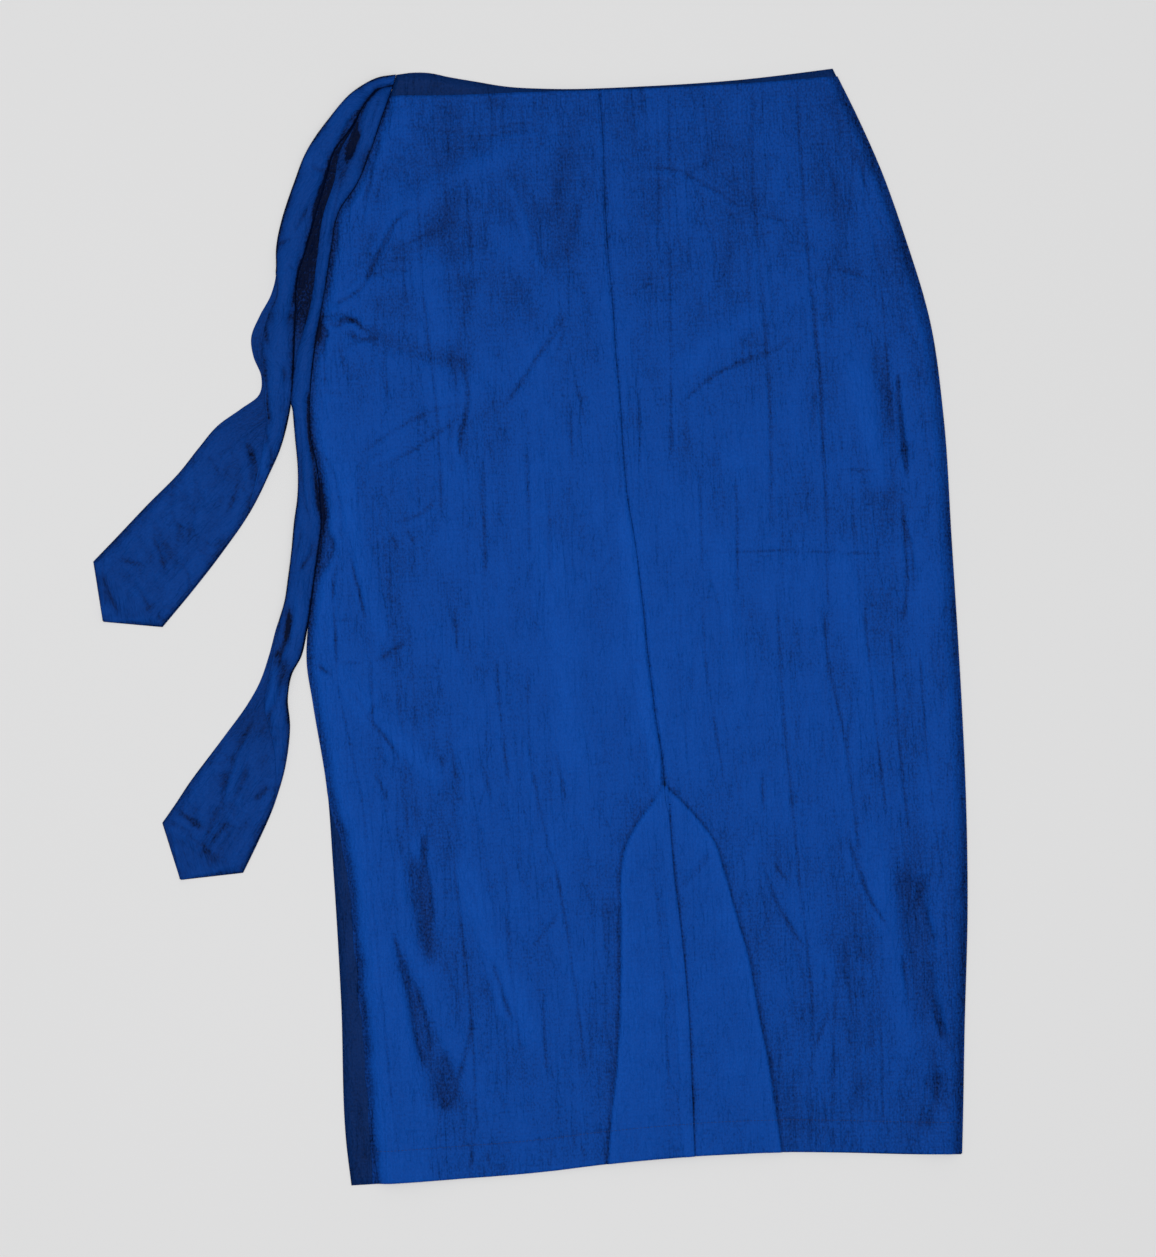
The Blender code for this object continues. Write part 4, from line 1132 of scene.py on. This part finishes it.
def tie_places(stations):
    """A tie's points as columns of x, y, height, share of the width, share left bare and stacked, and their
    places on the flat cloth."""
    places = []
    flats = []
    for start, end, bare, length in stations:
        width = float(np.linalg.norm(end - start))
        across = (end - start) / width
        run = 0.0
        last = 0.0
        for distance, height, stacked in tie_chain(width, bare):
            run += abs(distance - last)
            last = distance
            places.append((*(start + across * distance), height, distance / width, bare, stacked))
            flats.append((run, length))
    return np.array(places).T, np.array(flats)


def tie(name, sections, tip, seed, material, neighbour=None):
    """A tie: folded lengthwise beside the skirt, opening to a flat pointed end."""
    stations = tie_stations(np.array(sections, float), np.array(tip, float), neighbour)
    (x, y, height, share, bare, stacked), flats = tie_places(stations)
    columns = len(x) // len(stations)
    widths = np.repeat([np.linalg.norm(end - start) for start, end, _, _ in stations], columns)
    over_stack = np.clip((share - bare) / np.maximum(1 - bare, 0.02), 0, 1)
    over_width = np.clip(share, 0, 1)
    from_edge = np.minimum(over_width, 1 - over_width) * widths
    stack_shown = ease((STACK_GONE - bare) / STACK_GONE_RUN)
    flat = 1 - stack_shown
    open_end = ease((bare - END_OPENS) / END_OPENS_RUN)
    open_end = RELIEF_WHERE_FOLDED + (1 - RELIEF_WHERE_FOLDED) * open_end
    in_stack = stacked > 0

    crown = stacked * TIE_CROWN * np.sin(math.pi * over_stack) * stack_shown
    crown += FLAT_CROWN * np.minimum(1, FLAT_CROWN_EDGE * np.sin(math.pi * over_width)) * flat
    relief = TIE_CRUSH * crumple(x * TIE_CRUSH_SCALE + seed, y * TIE_CRUSH_SCALE)
    relief += fold_lines(x, y, TIE_FOLD_LINES)
    relief += open_end * crumple(x, y, TIE_END_WAVES, TIE_END_CREASES)
    relief *= np.minimum(1, 0.2 + 3 * np.sin(math.pi * np.where(in_stack, over_stack, over_width)))
    relief *= np.where(in_stack, 1, 1 - LOW_PLY_RELIEF_LOST * stack_shown)
    relief -= HEM_GROOVE * valley((from_edge - HEM_OF_TIE) / HEM_GROOVE_WIDTH) * flat
    z = height + np.clip(crown + relief, 0, MOST_TIE_RELIEF)

    folded = (height + crown + relief).reshape(len(stations), columns)
    # Painted shade in the tie's creases, hollows and along its edges, painted highlights on its ridges
    tone = painted_crease_shade(folded, 2, 2, 0.55, 1.4).ravel() + fold_lines(x, y, TIE_PAINTED_LIGHT_AND_SHADE)
    tone += TIE_EDGE_PAINTED_SHADE * valley(from_edge / TIE_EDGE_WIDTH) * np.where(in_stack, 1, flat)
    # Painted shade in the hollow between the ties and on the ply left bare under the stack
    hollow = 0.0
    if neighbour is not None:
        hollow = HOLLOW_PAINTED_SHADE * ease((y - TIES_PART - HOLLOW_START) / HOLLOW_RUN)
    least = np.maximum(BARE_PAINTED_SHADE, hollow) * stack_shown + PAINTED_SHADE_RANGE[0] * flat
    tone = np.where(in_stack, tone, np.maximum(tone, least))
    tone = np.minimum(tone, DEEPEST_ON_TIES + (DEEPEST_AT_TIE_ENDS - DEEPEST_ON_TIES) * open_end)
    faces = grid_faces(np.arange(len(x)).reshape(len(stations), columns).tolist())
    return cloth_piece(name, np.stack([x, y, z], axis=1), faces, flats, tone, TIE_CLOTH, [material])


# Finishes


# The taffeta's marks in metres: size across and along the cloth, seed, and how thin a line is in its cell
WARP_SLUBS = (0.0011, 0.045, 1.0)
WEFT_SLUBS = (0.030, 0.0012, 2.0)
PATCHES = (0.030, 0.055, 3.0)
GRAIN = (0.0013, 0.0020, 4.0)
LONG_LINES = (0.0080, 0.060, 11.0, 0.10)
SHORT_LINES = (0.0042, 0.014, 12.0, 0.14)
FACETS = (0.0026, 0.0052)
TONE_START = -0.20
TAFFETA_GLOSS = 0.025


def add_node(tree, kind, settings=(), **inputs):
    """A shader node with its settings, and its inputs set or linked by name."""
    node = tree.nodes.new(kind)
    for key, value in dict(settings).items():
        setattr(node, key, value)
    for key, value in inputs.items():
        socket = node.inputs[int(key[1:])] if key[1:].isdigit() else node.inputs[key.replace("_", " ")]
        if isinstance(value, bpy.types.NodeSocket):
            tree.links.new(value, socket)
        else:
            socket.default_value = value
    return node


def stretched(tree, flat, across, along, seed=0.0):
    """Places on the flat cloth in cells of the given size in metres."""
    mapping = add_node(tree, "ShaderNodeMapping", Vector=flat, Location=(seed, seed * 0.37, 0.0),
                       Scale=(1 / across, 1 / along, 1.0))
    return mapping.outputs[0]


def threads(tree, flat, across, along, seed):
    """Noise in cells of the given size, from 0 to 1."""
    places = stretched(tree, flat, across, along, seed)
    return add_node(tree, "ShaderNodeTexNoise", Vector=places, Scale=1.0, Detail=2.0).outputs["Fac"]


def add_up(tree, total, parts):
    """The total with each part added to it at its strength."""
    for value, strength in parts:
        part = add_node(tree, "ShaderNodeMath", {"operation": "MULTIPLY"}, i0=value, i1=strength).outputs[0]
        total = add_node(tree, "ShaderNodeMath", {"operation": "ADD"}, i0=part, i1=total).outputs[0]
    return total


def crinkle_lines(tree, flat, across, along, seed, thin):
    """Thin wandering lines, mostly along the cloth: 1 on a line and 0 between them."""
    places = stretched(tree, flat, across, along, seed)
    stray = add_node(tree, "ShaderNodeTexNoise", Vector=places, Scale=0.9, Detail=2.0)
    bent = add_node(tree, "ShaderNodeVectorMath", {"operation": "MULTIPLY_ADD"}, i0=stray.outputs["Color"],
                    i1=(0.9, 0.6, 0.0), i2=places)
    cells = add_node(tree, "ShaderNodeTexVoronoi", {"feature": "DISTANCE_TO_EDGE"}, Vector=bent.outputs[0],
                     Scale=1.0)
    line = add_node(tree, "ShaderNodeMapRange", {"interpolation_type": "SMOOTHSTEP"},
                    Value=cells.outputs["Distance"], From_Min=0.0, From_Max=thin, To_Min=1.0, To_Max=0.0)
    come_and_go = threads(tree, flat, across * 3.1, along * 1.4, seed + 5)
    shown = add_node(tree, "ShaderNodeMapRange", Value=come_and_go, From_Min=0.42, From_Max=0.62, To_Min=0.0,
                     To_Max=1.0)
    return add_node(tree, "ShaderNodeMath", {"operation": "MULTIPLY"}, i0=line.outputs[0],
                    i1=shown.outputs[0]).outputs[0]


def taffeta(name, deepest, dark, middle, light, painted_shade_strength=0.19):
    """Crinkled taffeta: slubs along both threads, soft patches, painted shade in creases and crinkle lines,
    painted highlights on ridges, and a fine crushed surface.
    """
    material = bpy.data.materials.new(name)
    material.use_nodes = True
    tree = material.node_tree
    shader = tree.nodes["Principled BSDF"]
    flat = add_node(tree, "ShaderNodeUVMap", {"uv_map": "cloth"}).outputs[0]
    warp = threads(tree, flat, *WARP_SLUBS)
    weft = threads(tree, flat, *WEFT_SLUBS)
    patch = threads(tree, flat, *PATCHES)
    grain = threads(tree, flat, *GRAIN)
    long_lines = crinkle_lines(tree, flat, *LONG_LINES)
    short_lines = crinkle_lines(tree, flat, *SHORT_LINES)
    # The crease attribute and the crinkle lines darken the colour as painted shade; below 0 the attribute
    # lightens it as a painted highlight
    crease = add_node(tree, "ShaderNodeAttribute", {"attribute_name": "crease"}).outputs["Fac"]
    start = add_node(tree, "ShaderNodeMath", {"operation": "MULTIPLY_ADD"}, i0=warp, i1=0.26, i2=TONE_START)
    tone = add_up(tree, start.outputs[0], ((weft, 0.18), (patch, 0.36), (grain, 0.68), (long_lines, -0.09),
                                           (short_lines, -0.08), (crease, -painted_shade_strength)))
    ramp = add_node(tree, "ShaderNodeValToRGB", Fac=tone)
    ramp.color_ramp.elements[0].color = (*deepest, 1)
    ramp.color_ramp.elements[1].color = (*light, 1)
    for place, colour in ((0.2, dark), (0.5, middle)):
        ramp.color_ramp.elements.new(place).color = (*colour, 1)
    tree.links.new(ramp.outputs["Color"], shader.inputs["Base Color"])
    facets = add_node(tree, "ShaderNodeTexVoronoi", {"feature": "F1"}, Vector=stretched(tree, flat, *FACETS),
                      Scale=1.0)
    relief = add_up(tree, facets.outputs["Distance"], ((long_lines, -0.5), (short_lines, -0.5), (grain, 0.9)))
    crush = add_node(tree, "ShaderNodeBump", Strength=0.8, Distance=0.0006, Height=relief)
    tree.links.new(crush.outputs[0], shader.inputs["Normal"])
    shader.inputs["Roughness"].default_value = 0.5
    shader.inputs["Specular IOR Level"].default_value = TAFFETA_GLOSS
    return material


def mottled(name, scale, detail, dark, light, roughness):
    """A plain finish whose colour wanders a little between two tones."""
    material = bpy.data.materials.new(name)
    material.use_nodes = True
    tree = material.node_tree
    shader = tree.nodes["Principled BSDF"]
    place = add_node(tree, "ShaderNodeTexCoord").outputs["Object"]
    noise = add_node(tree, "ShaderNodeTexNoise", Vector=place, Scale=scale, Detail=detail)
    ramp = add_node(tree, "ShaderNodeValToRGB", Fac=noise.outputs["Fac"])
    ramp.color_ramp.elements[0].color = (*dark, 1)
    ramp.color_ramp.elements[1].color = (*light, 1)
    tree.links.new(ramp.outputs["Color"], shader.inputs["Base Color"])
    shader.inputs["Roughness"].default_value = roughness
    return material


# Hem stitches, floor, light and camera

STITCH_RADIUS = 0.17
STITCH_LENGTH = 1.7
STITCH_BEVEL = 0.06
STITCH_LIFT = 0.08
STITCHES_Y = -374
STITCHES_START = 5
STITCHES_END = 4
FLOOR_SIZE = 8
# name, place, size and watts
LIGHTS = [("key light", (-0.8, 0.3, 5.0), 1.6, 104), ("fill light", (0.6, -0.3, 4.6), 1.6, 52)]
WORLD_STRENGTH = 0.31
CAMERA_HEIGHT = 2.6
SENSOR_HEIGHT = 24.0


def hem_stitches(material):
    """Small stitches that hold the turned-up hem, along both back panels."""
    bpy.ops.object.select_all(action="DESELECT")
    bpy.ops.mesh.primitive_cylinder_add(vertices=6, radius=STITCH_RADIUS * MM, depth=STITCH_LENGTH * MM,
                                        rotation=(0, math.pi / 2, 0))
    first = bpy.context.object
    first.name = "hem_stitches"
    bpy.ops.object.transform_apply(location=False, rotation=True, scale=False)
    bpy.ops.object.mode_set(mode="EDIT")
    bpy.ops.mesh.select_all(action="SELECT")
    bpy.ops.mesh.bevel(offset=STITCH_BEVEL * MM, segments=1)
    bpy.ops.object.mode_set(mode="OBJECT")
    shape = np.array([vertex.co for vertex in first.data.vertices])
    sides = [list(face.vertices) for face in first.data.polygons]
    x = np.arange(back_left_x(STITCHES_Y) + STITCHES_START, right_x(STITCHES_Y) - STITCHES_END, STITCH_PITCH)
    y = hem_y(x) + HEM_DEPTH
    z = back_height(x, y) + PANEL_CLOTH / 2 + STITCH_LIFT
    points = []
    faces = []
    for place in zip(x - MIDDLE_OF_OUTLINE[0], y - MIDDLE_OF_OUTLINE[1], z):
        faces += [[corner + len(points) for corner in side] for side in sides]
        points += (shape + np.array(place) * MM).tolist()
    mesh = bpy.data.meshes.new("hem_stitches")
    mesh.from_pydata(points, [], faces)
    mesh.materials.append(material)
    mesh.update()
    first.data = mesh
    mesh.shade_smooth()
    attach(first, "root")
    return first


def floor_and_light():
    """A plain pale floor under a soft light from the left and a weaker one right of the middle."""
    bpy.ops.object.select_all(action="DESELECT")
    bpy.ops.mesh.primitive_plane_add(size=FLOOR_SIZE, location=(0, 0, 0))
    floor = bpy.context.object
    floor.name = "floor"
    floor.data.materials.append(mottled("pale floor", 1.2, 1.0, (0.77, 0.77, 0.77), (0.80, 0.80, 0.805), 0.9))
    for name, place, size, power in LIGHTS:
        light = bpy.data.lights.new(name, "AREA")
        light.size = size
        light.energy = power
        lamp = bpy.data.objects.new(name, light)
        lamp.location = place
        lamp.rotation_euler = Vector(place).to_track_quat("Z", "Y").to_euler()
        bpy.context.scene.collection.objects.link(lamp)
    world = bpy.data.worlds.new("studio")
    world.use_nodes = True
    world.node_tree.nodes["Background"].inputs["Color"].default_value = (1, 1, 1, 1)
    world.node_tree.nodes["Background"].inputs["Strength"].default_value = WORLD_STRENGTH
    bpy.context.scene.world = world
    bpy.context.scene.view_settings.view_transform = "Standard"


def camera():
    """Looks straight down on the middle of the photograph."""
    eye = bpy.data.cameras.new("photo camera")
    eye.sensor_fit = "VERTICAL"
    eye.sensor_height = SENSOR_HEIGHT
    eye.lens = SENSOR_HEIGHT * CAMERA_HEIGHT / (PHOTO_HEIGHT * PHOTO_MM_PER_PIXEL * MM)
    mount = bpy.data.objects.new("photo camera", eye)
    x, y = from_photo(*PHOTO_CENTRE)
    mount.location = ((x - MIDDLE_OF_OUTLINE[0]) * MM, (y - MIDDLE_OF_OUTLINE[1]) * MM, CAMERA_HEIGHT)
    mount.rotation_euler = (0, 0, -PHOTO_TURN)
    bpy.context.scene.collection.objects.link(mount)
    bpy.context.scene.camera = mount


camera()
floor_and_light()

outside = taffeta("crinkled taffeta, outside with painted shade", (0.0006, 0.004, 0.026), (0.0022, 0.024, 0.140),
                  (0.0032, 0.054, 0.305), (0.0048, 0.078, 0.420))
# The inside copy is the cloth's wrong side, darkened further as painted shade where it lies under and beside
# the back
inside = taffeta("crinkled taffeta, inside", (0.0006, 0.003, 0.016), (0.0018, 0.010, 0.050),
                 (0.0032, 0.021, 0.105), (0.0050, 0.032, 0.155))
# The ties' copy is darker all over than the outside's, painted shade where the ties lie less lit than the
# back
doubled = taffeta("crinkled taffeta, ties", (0.0006, 0.004, 0.024), (0.0020, 0.020, 0.115),
                  (0.0023, 0.035, 0.200), (0.0035, 0.051, 0.278), painted_shade_strength=0.27)

back_left = back_panel("back_panel_left_cloth", -1, [outside, inside])
back_right = back_panel("back_panel_right_cloth", 1, [outside, inside])
front = front_panel([inside, outside])
underlay = pleat_underlay([inside])
upper = tie("tie_upper_cloth", TIE_UPPER, TIE_UPPER_TIP, 0.0, doubled)
upper_inner_edge = spread_along(np.array(TIE_UPPER, float)[:, 2:4], INNER_EDGE_PLACES)
lower = tie("tie_lower_cloth", TIE_LOWER, TIE_LOWER_TIP, 400.0, doubled, upper_inner_edge)
thread = mottled("sewing thread, blue", 1600.0, 2.0, (0.002, 0.018, 0.10), (0.004, 0.040, 0.21), 0.6)
stitches = hem_stitches(thread)

# What each piece stands for, and the size it is cut to: width, length, area in metres
CUTS = (
    (back_left, "back_panel_left", "panel_taffeta", (0.30, 0.80), 0.200, ["front_panel_cloth"]),
    (back_right, "back_panel_right", "panel_taffeta", (0.29, 0.80), 0.190, ["front_panel_cloth"]),
    (front, "front_panel", "panel_taffeta", (0.48, 0.81), 0.360, []),
    (underlay, "pleat_underlay", "panel_taffeta", (0.12, 0.25), 0.023, ["front_panel_cloth"]),
    (upper, "tie_upper", "tie_taffeta", (0.069, 0.49), 0.032, []),
    (lower, "tie_lower", "tie_taffeta", (0.069, 0.64), 0.043, []),
)
for piece, node, slot, flat, area, rests_on in CUTS:
    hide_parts(node)
